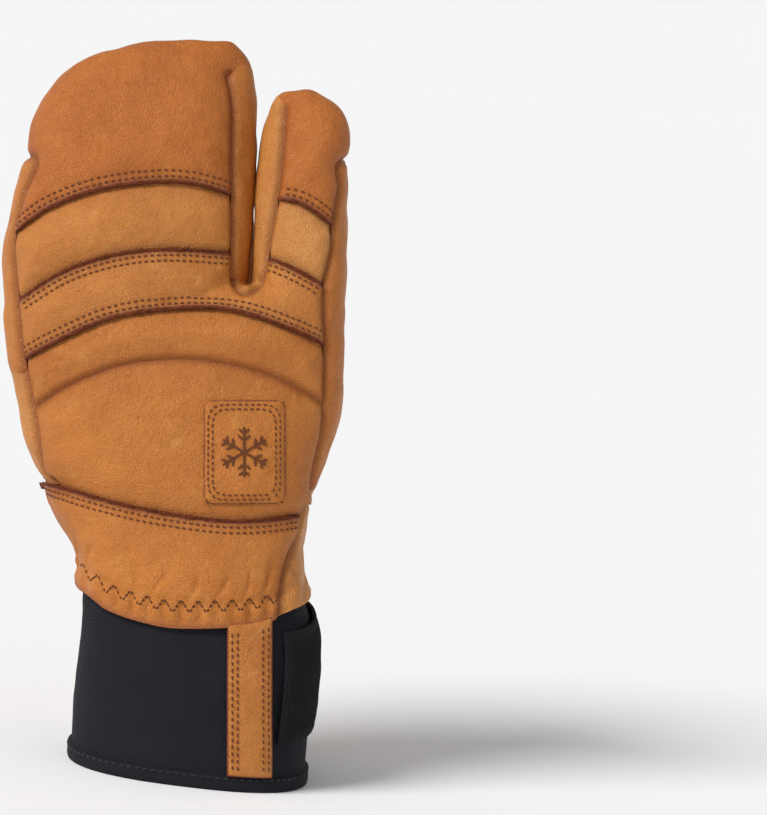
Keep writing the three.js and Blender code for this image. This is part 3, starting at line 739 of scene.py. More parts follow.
def leather(name, base, shade, pale, raw="74361a", rough=0.5, grain=1.0):
    """Full-grain leather: cloudy tone, pebbled grain and fine pores, with raw suede where "raw" says."""
    n = Nodes(name)
    cloud = n.ramp(n.noise(38, 5, 0.6), 0.35, 0.7)
    colour = n.mix(cloud, rgb(base), rgb(shade))
    colour = n.mix(n.ramp(n.noise(110, 4, 0.65), 0.56, 0.78, 0, 0.55), colour, rgb(pale))
    pores = n.add("ShaderNodeTexVoronoi", {"Vector": n.place, "Scale": 1150.0, "Randomness": 1.0},
                  feature="DISTANCE_TO_EDGE").outputs["Distance"]
    pore_dark = n.ramp(pores, 0.0, 0.12, 0.16, 0.0)
    colour = n.mix(pore_dark, colour, rgb(raw))
    speck = n.ramp(n.noise(1900, 3, 0.7), 0.4, 0.68, 0.0, 0.22)
    colour = n.mix(speck, colour, rgb(raw))
    # darker towards the seams, by the "seam" attribute: partly burnish, partly painted shade
    seam = n.attribute("seam")
    colour = n.mix(n.math("MULTIPLY", seam, 0.62), colour, rgb(raw))
    edge = n.attribute("raw")
    fuzz = n.ramp(n.noise(900, 3, 0.7), 0.35, 0.65, -0.25, 0.25)
    edge = n.ramp(n.math("ADD", edge, n.math("MULTIPLY", fuzz, edge)), 0.3, 0.75)
    colour = n.mix(edge, colour, rgb(raw))
    wrinkle = n.noise(230, 5, 0.6)
    normal = n.bump(wrinkle, 0.0011 * grain)
    normal = n.bump(n.ramp(pores, 0.0, 0.25), 0.00016 * grain, normal)
    normal = n.bump(n.noise(2300, 2), 0.00012, normal)
    n.connect(n.shader.inputs["Roughness"], n.ramp(n.noise(150, 4), 0.3, 0.7, rough - 0.08, rough + 0.1))
    return n.finish(colour, normal, Specular_IOR_Level=0.4)


def suede(name, base, shade):
    n = Nodes(name)
    colour = n.mix(n.ramp(n.noise(420, 5, 0.75), 0.35, 0.7), rgb(base), rgb(shade))
    normal = n.bump(n.noise(1500, 4, 0.75), 0.0009)
    return n.finish(colour, normal, Roughness=0.95, Specular_IOR_Level=0.2)


def thread(name, base, shade):
    n = Nodes(name)
    colour = n.mix(n.noise(1400, 2), rgb(base), rgb(shade))
    twist = n.add("ShaderNodeTexWave", {"Vector": n.place, "Scale": 700.0, "Distortion": 1.5},
                  bands_direction="DIAGONAL").outputs["Fac"]
    return n.finish(colour, n.bump(twist, 0.0003), Roughness=0.7)


def twill(name, base, shade, pitch=0.0008, depth=0.00016):
    """Twill-faced neoprene: fine slanting ribs broken up by the yarns across them."""
    n = Nodes(name)
    ribs = n.add("ShaderNodeTexWave", {"Vector": n.place, "Scale": 0.314 / pitch, "Distortion": 0.6,
                                       "Detail": 1.0, "Detail Scale": 3.0},
                 bands_direction="DIAGONAL").outputs["Fac"]
    yarn = n.noise(1700, 2, 0.6)
    colour = n.mix(n.math("MULTIPLY", ribs, yarn), rgb(base), rgb(shade))
    colour = n.mix(n.ramp(n.noise(60, 4), 0.4, 0.75, 0, 0.35), colour, rgb(shade))
    normal = n.bump(ribs, depth, n.bump(yarn, 0.0004))
    return n.finish(colour, normal, Roughness=0.92, Specular_IOR_Level=0.25)


def fleece(name, base, shade):
    n = Nodes(name)
    colour = n.mix(n.noise(300, 4, 0.7), rgb(base), rgb(shade))
    return n.finish(colour, n.bump(n.noise(520, 4, 0.7), 0.002), Roughness=1.0, Sheen_Weight=0.15)


def chrome(name):
    n = Nodes(name)
    colour = n.mix(n.ramp(n.noise(120, 4), 0.45, 0.8), rgb("8f9296"), rgb("6e7175"))
    normal = n.bump(n.noise(260, 3), 0.00008)
    return n.finish(colour, normal, Metallic=1.0, Roughness=0.2)


MATERIALS = {
    "leather": leather("leather_tan", "c87a2c", "b5691f", "d59243"),
    "band_leather": leather("leather_band", "cd8236", "bb7028", "db9b50"),
    "pale_leather": leather("leather_pale", "d58f46", "c57d35", "e3ab66"),
    "cap_leather": leather("leather_cap", "c06e22", "ab5c18", "cc8135"),
    "suede": suede("raw_edge", "7c3b1c", "4e2411"),
    "thread": thread("thread_tan", "8a4a1c", "5e2f12"),
    "dark_thread": thread("thread_brown", "70380f", "4a230a"),
    "neoprene": twill("neoprene", "14151a", "20222a", 0.0007, 0.00008),
    "elastic": twill("elastic", "101114", "1d1e23", 0.0016, 0.0003),
    "hook_loop": fleece("hook_loop", "0e0f12", "222327"),
    "fleece": fleece("fleece", "2a2b2f", "44464c"),
    "chrome": chrome("plated"),
}


# ------------------------------------------------------------------ sewing
FLATTENED = 0.85


def capsule(length, radius, sides=7):
    """A stitch lying along x: thin at its ends, with a flat section."""
    along = np.array([-1, -0.86, -0.5, 0, 0.5, 0.86, 1]) * length / 2
    thick = np.array([0.25, 0.72, 0.98, 1, 0.98, 0.72, 0.25]) * radius
    points = np.array([[x, r * math.cos(a), FLATTENED * r * math.sin(a)]
                       for x, r in zip(along, thick) for a in full_turn(sides)])
    return points, capped_tube(len(along), sides)


class Threads:
    """Collects the stitches of one piece."""

    def __init__(self, length=1.45, radius=0.36):
        self.template = capsule(length, radius)
        self.parts = []

    def put(self, at, along, normal, stretch=1.0):
        along = along / max(np.linalg.norm(along), 1e-9)
        side = np.cross(normal, along)
        side /= max(np.linalg.norm(side), 1e-9)
        normal = np.cross(along, side)
        local = self.template[0] * [stretch, 1, 1]
        self.parts.append((at + local @ np.array([along, side, normal]), self.template[1]))

    def make(self, name, material, slot, moves):
        if self.parts:
            finish_piece(name, *joined(self.parts), material, slot, moves, sharp=180)


def resample(path, pitch):
    """The path with even steps of about this pitch."""
    steps = np.linalg.norm(np.diff(path, axis=0), axis=1)
    at = np.concatenate([[0], np.cumsum(steps)])
    count = max(2, int(round(at[-1] / pitch)) + 1)
    wanted = np.linspace(0, at[-1], count)
    return np.stack([np.interp(wanted, at, path[:, k]) for k in range(3)], 1)


def even_out(path, rounds=6):
    for _ in range(rounds):
        path = np.vstack([path[:1], (path[:-2] + 2 * path[1:-1] + path[2:]) / 4, path[-1:]])
    return path


def nearest(tree, point):
    at, normal, _, _ = tree.find_nearest(Vector(point))
    return np.array(at), np.array(normal)


def sew(threads, tree, path, offset=0.0, pitch=2.4, sink=0.1, skip=1.0):
    """A row of stitches beside a path that has the piece on its left, pressed a little into it."""
    path = resample(even_out(resample(path, 1.5)), pitch)
    along = np.gradient(path, axis=0)
    for p, t in zip(path[1:-1], along[1:-1]):
        _, normal = nearest(tree, p)
        inward = np.cross(normal, t / np.linalg.norm(t))
        at, normal = nearest(tree, p + inward * offset)
        threads.put(at + normal * (0.3 - sink), t, normal, skip)


def rough_edge(tree, path, width=3.0, height=0.8, offset=0.4, seed=1):
    """A raw suede edge: an uneven ridge along a border."""
    path = resample(even_out(resample(path, 1.5), 4), 0.8)
    along = np.gradient(path, axis=0)
    random = np.random.default_rng(seed)
    count = len(path)
    profile = np.array([[-0.5, -0.5], [-0.46, 0.35], [-0.25, 0.85], [0, 1.0], [0.25, 0.85], [0.46, 0.35],
                        [0.5, -0.5]])
    wide = width * (1 + 0.16 * np.convolve(random.normal(size=count), np.ones(3) / 3, "same"))
    rings = []
    for i, (p, t) in enumerate(zip(path, along)):
        _, normal = nearest(tree, p)
        t = t / max(np.linalg.norm(t), 1e-9)
        inward = np.cross(normal, t)
        end = min(1.0, 0.25 + min(i, count - 1 - i) * 0.3)
        rough = random.normal(size=(len(profile), 2)) * [0.16, 0.13]
        shape = (profile + rough * (profile[:, 1:] > 0)) * [wide[i] * end, height * end]
        beside = shape[:, 0] + offset + width * 0.35
        rings.append(p + np.outer(beside, inward) + np.outer(shape[:, 1], normal))
    points = np.vstack(rings)
    return points, capped_tube(count, len(profile))


# ------------------------------------------------------------------ leather panels
# labels: seams and their kind at this panel, how far it puffs up, material, slot, movement, CAD nodes
PANELS = {
    "pouch_cap": ({"cap": "top", "outer": "turned", "crotch": "turned", "pouch_top": "under"}, 1.6,
                  "cap_leather", "dark_leather", "pouch_bend", ["pouch_cap", "pouch_insulation"]),
    "index_cap": ({"index_cap": "top", "thumb_side": "turned", "crotch": "turned", "index_top": "under"}, 1.3,
                  "cap_leather", "dark_leather", "index_bend", ["index_cap", "index_insulation"]),
    "pouch_band": ({"cap": "under", "outer": "turned", "crotch": "turned", "knuckle": "under"}, 1.7,
                   "band_leather", "main_leather", "pouch_bend", ["pouch_band"]),
    "index_band": ({"index_cap": "under", "thumb_side": "turned", "crotch": "turned", "knuckle": "under"},
                   1.3, "pale_leather", "pale_leather", "index_bend", ["index_band"]),
    "finger_base": ({"knuckle": "top", "band": "top", "outer": "turned", "thumb_side": "turned",
                     "crotch": "turned"}, 1.5, "band_leather", "main_leather", "hand",
                    ["finger_base_band", "finger_root_insulation"]),
    "knuckle_band": ({"band": "under", "hand": "turned", "outer": "turned", "thumb_side": "turned"}, 1.8,
                     "leather", "main_leather", "hand", ["knuckle_band"]),
    "back_hand": ({"hand": "turned", "wrist": "under", "outer": "turned", "thumb_side": "turned"}, 1.6,
                  "leather", "main_leather", "hand", ["back_hand_panel", "hand_insulation"]),
    "wrist_panel": ({"wrist": "top", "hem_back": "hem", "thumb_wrist": "turned"}, 0.6,
                    "leather", "main_leather", "wrist_bend", ["wrist_panel", "wrist_elastic"]),
    "palm_wrist_outer": ({"hem_palm": "hem"}, 0.8, "leather", "main_leather", "wrist_bend",
                         ["palm_wrist_outer"]),
    "palm_wrist_thumb": ({"hem_palm": "hem", "thumb_wrist": "turned"}, 0.8, "pale_leather", "pale_leather",
                         "wrist_bend", ["palm_wrist_thumb"]),
    "gusset_low": ({"outer": "turned", "wrist": "under"}, 0.9, "pale_leather", "main_leather", "hand",
                   ["outer_gusset_lower"]),
    "gusset": ({"outer": "turned"}, 0.9, "band_leather", "main_leather", "pouch_bend",
               ["outer_gusset_middle", "outer_gusset_upper"]),
    "thumb_side": ({"thumb_side": "turned"}, 1.0, "leather", "main_leather", "index_bend",
                   ["thumb_side_gusset_lower", "thumb_side_gusset_middle", "thumb_side_gusset_upper"]),
    "crotch": ({"crotch": "turned"}, 1.2, "pale_leather", "main_leather", "hand", ["crotch_gusset"]),
    "pouch_side": ({"crotch": "turned", "gap": "turned"}, 1.6, "leather", "main_leather", "pouch_bend",
                   ["pouch_inner_wall"]),
    "index_side": ({"crotch": "turned", "gap": "turned"}, 1.6, "pale_leather", "main_leather", "index_bend",
                   ["index_inner_wall"]),
    "pouch_palm": ({"pouch_top": "ridge", "outer": "ridge", "crotch": "ridge"}, 1.2, "leather",
                   "main_leather", "pouch_bend", ["pouch_palm", "pouch_crease"]),
    "index_palm": ({"index_top": "ridge", "thumb_side": "ridge", "crotch": "ridge"}, 1.0, "leather",
                   "main_leather", "index_bend", ["index_palm", "index_crease"]),
    "palm": ({"outer": "turned", "thumb_gusset": "ridge", "thumb_side": "turned", "crotch": "turned"}, 1.0,
             "leather", "main_leather", "hand", ["palm_panel"]),
    "palm_patch": ({"patch": "top"}, 0.4, "pale_leather", "pale_leather", "hand", ["palm_patch"]),
    "thumb_outer": ({"thumb_middle": "turned", "thumb_gusset": "turned", "thumb_side": "turned"}, 1.3,
                    "pale_leather", "pale_leather", "thumb_bend", ["thumb_outer", "thumb_base_outer"]),
    "thumb_inner": ({"thumb_middle": "turned", "thumb_gusset": "turned"}, 1.2, "leather", "main_leather",
                    "thumb_bend", ["thumb_inner", "thumb_base_gusset", "thumb_insulation"]),
}
# heights at which a palm-side panel meets its neighbour with no step between them
FLUSH = {"palm": (WRIST_PALM, FINGER_ROOT), "pouch_palm": (FINGER_ROOT,), "index_palm": (FINGER_ROOT,),
         "palm_wrist_outer": (WRIST_PALM,), "palm_wrist_thumb": (WRIST_PALM,), "thumb_outer": (WRIST_PALM,),
         "thumb_inner": (WRIST_PALM,)}
FLUSH_WIDTH = 6.0
RAW_WIDTH = {"top": 1.0, "ridge": 0.6}
STITCH_ROWS = {"cap": (2.0, 4.2), "index_cap": (2.0, 4.2), "knuckle": (1.9, 4.0), "band": (1.9, 4.0),
               "wrist": (2.2, 4.3), "patch": (1.9, 3.9)}
PATCH_LIFT = 1.3
RIDGE_TRIM = 3
SHORTEST_RIDGE = 8
# a raw edge's width, height and place, for each kind of border that has one
RIDGES = {"top": (1.15, 0.3, -0.5), "ridge": (2.8, 0.9, -0.6)}
STITCH_DENTS = (2.0, 4.1)
DENT_DEPTH, DENT_WIDTH = 0.28, 0.7
PUFF_REACH = 7.5
SOFT_REACH = 6
# height, wavelength and seed of the leather's gentle unevenness
PANEL_WAVES = ((0.32, 26, 3), (0.16, 9, 4))
PATCH_THICK = 1.2
# each finished panel's surface, for what is sewn onto it
surfaces = {}
ZIGZAG_PITCH = 6.2
ZIGZAG_LOW = 5.8
ZIGZAG_RISE = 4.7


def panel_faces(name):
    if name == "palm_patch":
        flat = skin_points[skin_faces].mean(1)[:, [0, 2]]
        return skin_faces[(skin_label == "palm") & inside(flat, REGIONS["patch"])]
    return skin_faces[skin_label == name]


def runs(loop, label):
    """Stretches of a closed ring whose points share one seam."""
    names = [label[i] for i in loop]
    if all(name == names[0] for name in names):
        return [(names[0], loop + loop[:1])]
    start = next(i for i in range(len(loop)) if names[i] != names[i - 1])
    loop, names = loop[start:] + loop[:start], names[start:] + names[:start]
    out, at = [], 0
    for i in range(1, len(loop) + 1):
        if i == len(loop) or names[i] != names[at]:
            out.append((names[at], loop[at:min(i + 1, len(loop))]))
            at = i
    return [(name, run) for name, run in out if len(run) > 4]


def wrist_folds(points):
    """Gathers that fan out above the zigzag rows, where the leather is drawn in by the wrist elastic."""
    x, z = points[:, 0], points[:, 2]
    high = z - np.where(points[:, 1] < 0, height_on("hem_back", x), height_on("hem_palm", x))
    phase = x * math.pi / ZIGZAG_PITCH
    puffs = np.abs(np.sin(phase + 0.25 * ripple(points, 30, 5)))
    creases = 1 - np.clip(np.abs(np.sin(phase * 0.62 + 1.2 * ripple(points, 26, 6))) / 0.5, 0, 1)
    below = 1.5 * (puffs - 0.45) * bell(high - 5.2, 3.6)
    return below - 0.9 * creases * bell(high - 15.5, 6.5) - 0.7 * bell(high - ZIGZAG_LOW - 2.4, 2.0)


def make_panel(name):
    seams, puff, material, slot, moves, nodes = PANELS[name]
    faces = panel_faces(name)
    used = np.unique(faces)
    index = np.full(len(skin_points), -1)
    index[used] = np.arange(len(used))
    faces = index[faces]
    points, normals = skin_points[used], skin_normals[used]
    loops = boundary_loops(faces)
    label = np.full(len(points), "", dtype="<U16")
    ring = np.array(sorted({i for loop in loops for i in loop}))
    label[ring] = seam_labels(points[ring], seams)
    lift = np.full(len(points), PATCH_LIFT if name == "palm_patch" else 0.0)
    raw = np.zeros(len(points))
    nearest_any = np.full(len(points), FAR)
    for kind in sorted(set(seams.values())):
        border = [dense(points[run], 3) for loop in loops for seam, run in runs(loop, label)
                  if seams.get(seam) == kind]
        if not border:
            continue
        d = distance_field(points, np.vstack(border))
        height, width = RELIEF[kind]
        lift += height * bell(d, width)
        if kind in RAW_WIDTH:
            raw = np.maximum(raw, np.clip(1.5 - d / RAW_WIDTH[kind], 0, 1))
        if kind == "top":
            lift -= DENT_DEPTH * sum(bell(d - at, DENT_WIDTH) for at in STITCH_DENTS)
        nearest_any = np.minimum(nearest_any, d)
    lift += puff * (1 - bell(nearest_any, PUFF_REACH))
    soft = np.clip(nearest_any / SOFT_REACH, 0, 1)
    lift += soft * sum(height * ripple(points, length, seed) for height, length, seed in PANEL_WAVES)
    if name in ("wrist_panel", "palm_wrist_outer", "palm_wrist_thumb"):
        lift += wrist_folds(points)
    palm_side = np.clip(points[:, 1] / 8, 0, 1)
    for level in FLUSH.get(name, ()):
        lift *= 1 - palm_side * (1 - np.clip(np.abs(points[:, 2] - level) / FLUSH_WIDTH, 0, 1))
    # darkening towards every border: partly burnish, partly painted shade in the seams' hollows
    seam_burnish_and_painted_shade = 0.75 * bell(nearest_any, 1.5) + 0.25 * bell(nearest_any, 6.0)
    points = points + normals * lift[:, None]
    tree = BVHTree.FromPolygons(points.tolist(), faces.tolist())
    surfaces[name] = tree
    thick = THICK if name != "palm_patch" else PATCH_THICK
    piece_points, piece_faces = shell(points, faces, normals_of(points, faces), thick)
    obj = finish_piece(name + "_leather", piece_points, piece_faces, material, slot, moves,
                       attribute=np.concatenate([raw, raw]), seam=np.tile(seam_burnish_and_painted_shade, 2))
    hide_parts(*nodes)
    threads = Threads()
    ridges = []
    for loop in loops:
        for seam, run in runs(loop, label):
            kind = seams.get(seam)
            if kind not in RIDGES or len(run) < SHORTEST_RIDGE:
                continue
            path = points[run]
            if kind == "top" and len(run) > 4 * RIDGE_TRIM:
                path = path[RIDGE_TRIM:-RIDGE_TRIM]
            for row in STITCH_ROWS.get(seam, ()):
                sew(threads, tree, path, row)
            ridges.append(rough_edge(tree, path, *RIDGES[kind], len(run)))
    if ridges:
        finish_piece(name + "_raw_edge", *joined(ridges), "suede", slot, moves, sharp=180)
    threads.make(name + "_stitches", "thread", slot, moves)


for one in PANELS:
    make_panel(one)


# ------------------------------------------------------------------ the cuff and what is on it
def cuff_level(points, tilt=0.0):
    normal = np.array([0, -math.sin(tilt), math.cos(tilt)])
    return ((points - [0, 0, RIM_Z]) @ TURN.T) @ normal


CUFF_ROWS = rows_at(ARM, np.arange(-24, 88, 1.0))


def around_cuff(angles, levels, depth, tilt=0.0):
    """Points on the cuff at these angles and levels, at a depth that may vary with the level."""
    depth = np.broadcast_to(np.asarray(depth, float), (len(levels),))
    out = np.empty((len(levels), len(angles), 3))
    for k, (high, deep) in enumerate(zip(levels, depth)):
        grid = ring_points(CUFF_ROWS, angles, deep)
        value = cuff_level(grid, tilt)
        for j in range(len(angles)):
            for axis in range(3):
                out[k, j, axis] = np.interp(high, value[:, j], grid[:, j, axis])
    return out


def on_cuff(xs, levels, side, depth, tilt=0.0):
    """Points on the back (side -1) or palm (side 1) face of the cuff, at these x and levels."""
    z, low_x, high_x, back, palm, slant = (CUFF_ROWS[:, k] for k in range(6))
    out = np.empty((len(levels), len(xs), 3))
    for j, x in enumerate(xs):
        half_x, half_y = (high_x - low_x) / 2 - depth, (palm - back) / 2 - depth
        share = np.clip(np.abs(x - (low_x + high_x) / 2) / half_x, 0, 1)
        y = (back + palm) / 2 + side * half_y * (1 - share**POWER) ** (1 / POWER)
        column = np.stack([np.full(len(z), x), y, z + slant * (SLOPE_X * x + SLOPE_Y * y)], 1)
        value = cuff_level(column, tilt)
        for axis in range(3):
            out[:, j, axis] = np.interp(levels, value, column[:, axis])
    return out


def plate(grid, thickness, edge=0.5, wave=None):
    """A closed plate whose outer face is the grid, with its edges rounded off."""
    rows, columns = grid.shape[:2]
    points = grid.reshape(-1, 3)
    faces = grid_faces(rows, columns)
    tri = np.vstack([faces[:, [0, 1, 2]], faces[:, [0, 2, 3]]])
    normals = normals_of(points, tri)
    if np.sum(normals[:, 1] * np.sign(points[:, 1])) < 0:
        normals, tri = -normals, tri[:, ::-1]
    r, c = np.meshgrid(np.arange(rows), np.arange(columns), indexing="ij")
    step_r = np.linalg.norm(grid[1, 0] - grid[0, 0])
    step_c = np.linalg.norm(grid[0, 1] - grid[0, 0])
    d = np.minimum(np.minimum(r, rows - 1 - r) * step_r, np.minimum(c, columns - 1 - c) * step_c).ravel()
    lift = -edge * bell(d, 0.8)
    if wave is not None:
        lift = lift + wave
    outer = points + normals * lift[:, None]
    tree = BVHTree.FromPolygons(outer.tolist(), tri.tolist())
    p, f = shell(outer, tri, normals * (1 + (lift / thickness))[:, None], thickness)
    return p, f, tree, d


def border_rows(grid, inset_r, inset_c):
    """A path round a grid, this many rows and columns in from its border."""
    rows, columns = grid.shape[:2]
    r0, r1, c0, c1 = inset_r, rows - 1 - inset_r, inset_c, columns - 1 - inset_c
    return [grid[r0, c0:c1 + 1], grid[r0:r1 + 1, c1], grid[r1, c0:c1 + 1][::-1], grid[r0:r1 + 1, c0][::-1]]


SLEEVE_TOP = 77
SLEEVE_WALL = 2.9
CUFF_SIDES = 220
LINER_SIDES = 120
BINDING_PROFILE = [(1.3, 0.0), (0.55, 0.35), (0.3, 1.4), (0.3, 3.6), (0.6, 4.9), (1.3, 5.5), (2.2, 5.5),
                   (4.4, 5.5), (5.3, 5.2), (5.9, 4.2), (5.9, 1.2), (5.3, 0.0)]
CUFF_ANGLES = full_turn(CUFF_SIDES)


def profile_rings(profile):
    """A profile of [depth, level] points carried round the cuff."""
    return np.array([around_cuff(CUFF_ANGLES, [high], deep)[0] for deep, high in profile])


def make_cuff():
    levels = np.concatenate([np.linspace(0.9, 6.4, 8), np.linspace(7.5, 57, 46),
                             np.linspace(59, SLEEVE_TOP, 10)])
    deep = np.interp(levels, [58, 66], [1.7, 3.3])
    outside = around_cuff(CUFF_ANGLES, levels, deep)
    inside_wall = around_cuff(CUFF_ANGLES, levels[::-1], (deep + SLEEVE_WALL)[::-1])
    rings = np.concatenate([outside, inside_wall])
    flat = rings.reshape(-1, 3)
    push = 0.3 * ripple(flat, 34, 12) + 0.1 * ripple(flat, 11, 13)
    centre = np.array([2, 4, 0])
    outward = (flat - centre) * [1, 1, 0]
    outward /= np.linalg.norm(outward, axis=1)[:, None]
    flat = flat + outward * push[:, None]
    faces = torus_faces(len(rings), CUFF_SIDES)
    obj = finish_piece("cuff_sleeve_neoprene", flat, faces, "neoprene", "neoprene", "wrist_bend")
    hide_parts("cuff_sleeve")
    flat = profile_rings(BINDING_PROFILE).reshape(-1, 3)
    faces = torus_faces(len(BINDING_PROFILE), CUFF_SIDES)
    obj = finish_piece("rim_binding_roll", flat, faces, "neoprene", "neoprene", "cuff", sharp=60)
    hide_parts("rim_binding")
    tree = BVHTree.FromPolygons(flat.tolist(), faces)
    threads = Threads(2.0, 0.3)
    path = around_cuff(CUFF_ANGLES, [4.6], 0.5)[0]
    sew(threads, tree, np.vstack([path, path[:2]]), 0.0, 3.0)
    threads.make("rim_binding_stitches", "hook_loop", "neoprene", "cuff")


def make_liner():
    heights = np.linspace(6, 172, 56)
    rows = rows_at(ARM, heights)
    depth = np.interp(heights, [6, 20, 70, 160, 166, 172], [5.4, 7.4, 8.5, 9, 12, 18])
    rings = np.stack([ring_points(rows[k:k + 1], full_turn(LINER_SIDES), depth[k])[0]
                      for k in range(len(heights))])
    flat = rings.reshape(-1, 3)
    outward = flat * [1, 1, 0]
    outward /= np.linalg.norm(outward, axis=1)[:, None]
    flat = flat + outward * (0.5 * ripple(flat, 22, 30, (1, 1, 0.4)))[:, None]
    faces = grid_faces(len(rings), LINER_SIDES, closed=True)[:, ::-1]
    tri = np.vstack([faces[:, [0, 1, 2]], faces[:, [0, 2, 3]]])
    top = (len(rings) - 1) * LINER_SIDES
    lid = np.array([[top, top + i + 1, top + i] for i in range(1, LINER_SIDES - 1)])
    tri = np.vstack([tri, lid])
    points, faces = shell(flat, tri, normals_of(flat, tri), 0.8)
    obj = finish_piece("fleece_liner", points, faces, "fleece", "fleece", "wrist_bend")
    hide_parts("liner_bag")


def leather_plate(name, grid, thickness, material, slot, moves, nodes, raw_width=1.2, edge=0.55):
    flat = grid.reshape(-1, 3)
    points, faces, tree, d = plate(grid, thickness, edge, 0.12 * ripple(flat, 16, len(name)))
    raw = np.clip(1.4 - d / raw_width, 0, 1)
    obj = finish_piece(name, points, faces, material, slot, moves, attribute=np.concatenate([raw, raw]))
    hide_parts(*nodes)
    return tree


make_cuff()
make_liner()


BACK_STRIP = (16.3, 33)
STRAP_TILT = math.radians(8.7)
STRAP_LEVELS = (20.8, 61.3)
STRAP_BACK, STRAP_PALM = math.radians(47), math.radians(72)
STRAP_BACK_X, STRAP_PALM_X = 32.2, 15.2
STRAP_MIDDLE = 20
RIB_PITCH = 1.35
PULL_X = (-3, 24.8)
PULL_LEVELS = (27.3, 67.8)
HANG_X = (-14, 14.8)
HANG_LOW = 25.6
BINDING_TOP = 5.8
EYELET_CENTRE = np.array([-4.6, 43.1, 14.5])
EYELET_TILT = math.radians(12.4)
TAB_RADIUS = 14.5
TAB_TOP = 25.1
TAB_HOLE = 7.1
TAB_SIDES = 120
TAB_STITCH_IN = 3.6


CUFF_BACK_Y, CUFF_PALM_Y = -30, 31


def hem_level(xs, name, side):
    """The level of the hem above each x, on the back or the palm face."""
    deep = CUFF_BACK_Y if side < 0 else CUFF_PALM_Y
    return cuff_level(np.stack([xs, np.full(len(xs), deep), height_on(name, xs)], 1))


def strip_grid(x_range, low, hem, side, depth):
    """A strip from one level up to just under the leather's hem."""
    xs = np.linspace(*x_range, 24)
    tops = hem_level(xs, hem, side) + 1.5
    rows = 64
    grid = np.empty((rows, len(xs), 3))
    for j, (x, top) in enumerate(zip(xs, tops)):
        grid[:, j] = on_cuff([x], np.linspace(low, top, rows), side, depth)[:, 0]
    return grid


def sew_lines(threads, tree, lines, offset=0.0, pitch=2.5):
    for line in lines:
        sew(threads, tree, np.asarray(line, float), offset, pitch)


def column_line(grid, inset):
    """A line up a grid, this far in millimetres from its first (or, if negative, last) column."""
    width = np.linalg.norm(grid[0, -1] - grid[0, 0])
    at = (inset if inset > 0 else width + inset) / width * (grid.shape[1] - 1)
    k, t = int(at), at - int(at)
    return grid[:, k] * (1 - t) + grid[:, min(k + 1, grid.shape[1] - 1)] * t


def row_line(grid, inset):
    """The same, across a grid from its first or last row."""
    return column_line(grid.transpose(1, 0, 2), inset)


def make_back_strip():
    grid = strip_grid(BACK_STRIP, BINDING_TOP, "hem_back", -1, -0.9)
    tree = leather_plate("back_strip_leather", grid, 2.2, "band_leather", "main_leather", "cuff",
                         ["back_strip"], 0.7, 0.8)
    threads = Threads()
    sew_lines(threads, tree, [column_line(grid, v)[1:-2] for v in (1.9, 4.0, -1.9, -4.0)])
    threads.make("back_strip_stitches", "thread", "main_leather", "cuff")


def make_strap():
    """One length of ribbed elastic from the back strip round the thumb side to the pull tab."""
    angles = np.linspace(2 * math.pi - STRAP_BACK, 2 * math.pi + STRAP_PALM, 330)
    levels = np.linspace(*STRAP_LEVELS, 44)
    grid = around_cuff(angles, levels, -0.7, STRAP_TILT)
    keep = grid[STRAP_MIDDLE, :, 0] > np.where(angles < 2 * math.pi, STRAP_BACK_X, STRAP_PALM_X)
    grid = grid[:, keep]
    steps = np.linalg.norm(np.diff(grid[STRAP_MIDDLE], axis=0), axis=1)
    lengths = np.concatenate([[0], np.cumsum(steps)])
    across = np.linspace(0, np.linalg.norm(grid[-1, 0] - grid[0, 0]), len(grid))
    ribs = 0.16 * np.sin(lengths * 2 * math.pi / RIB_PITCH)[None, :]
    edge = np.minimum(across, across[-1] - across)[:, None]
    wave = ribs * np.clip(edge / 2 - 0.8, 0.25, 1) - 0.3 * bell(edge - 2.3, 0.55)
    wave = wave + 0.25 * np.sin(across[:, None] * 0.5 + 1) * np.sin(lengths[None, :] * 0.11)
    points, faces, _, _ = plate(grid, 1.5, 0.35, wave.ravel())
    obj = finish_piece("closure_elastic", points, faces, "elastic", "elastic", "strap_bend", sharp=70)
    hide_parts("strap_anchor", "strap_elastic")


def make_pull_tab():
    xs = np.linspace(*PULL_X, 46)
    levels = np.linspace(*PULL_LEVELS, 64)
    grid = on_cuff(xs, levels, 1, -4.4)
    tree = leather_plate("pull_tab_leather", grid, 2.2, "pale_leather", "pale_leather", "strap",
                         ["pull_tab"], 0.8, 0.7)
    threads = Threads()
    sew_lines(threads, tree, [column_line(grid, v)[2:-3] for v in (2.2, -3.2, -5.4)])
    sew_lines(threads, tree, [row_line(grid, v)[2:-3] for v in (2.2, -2.2)])
    threads.make("pull_tab_stitches", "thread", "pale_leather", "strap")
    edges = [rough_edge(tree, path, 1.3, 0.5, -0.75, k) for k, path in enumerate(border_rows(grid, 0, 0))]
    finish_piece("pull_tab_raw_edge", *joined(edges), "suede", "pale_leather", "strap", sharp=180)
    for name, x_range, level_range, depth, body in (("hook", (-4.4, 14), (28.4, 66.6), -2.1, "strap"),
                                                    ("loop", (-4.8, 14.4), (28, 67), -1.1, "cuff")):
        pad = on_cuff(np.linspace(*x_range, 34), np.linspace(*level_range, 60), 1, depth)
        noise = np.random.default_rng(11).normal(size=pad.shape[0] * pad.shape[1]) * 0.09
        points, faces, _, _ = plate(pad, 1.0, 0.3, noise)
        obj = finish_piece(name + "_tape", points, faces, "hook_loop", "hook_loop", body, sharp=180)
        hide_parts(name + "_pad")


def make_hang_strip():
    grid = strip_grid(HANG_X, HANG_LOW, "hem_palm", 1, -0.7)
    tree = leather_plate("hang_strip_leather", grid, 1.9, "leather", "main_leather", "cuff",
                         ["hang_strip"], 0.8, 0.7)
    threads = Threads()
    sew_lines(threads, tree, [column_line(grid, v)[1:-2] for v in (2.2, -2.2)])
    sew_lines(threads, tree, [row_line(grid, v)[2:-2] for v in (2.0, 4.1)])
    threads.make("hang_strip_stitches", "thread", "main_leather", "cuff")


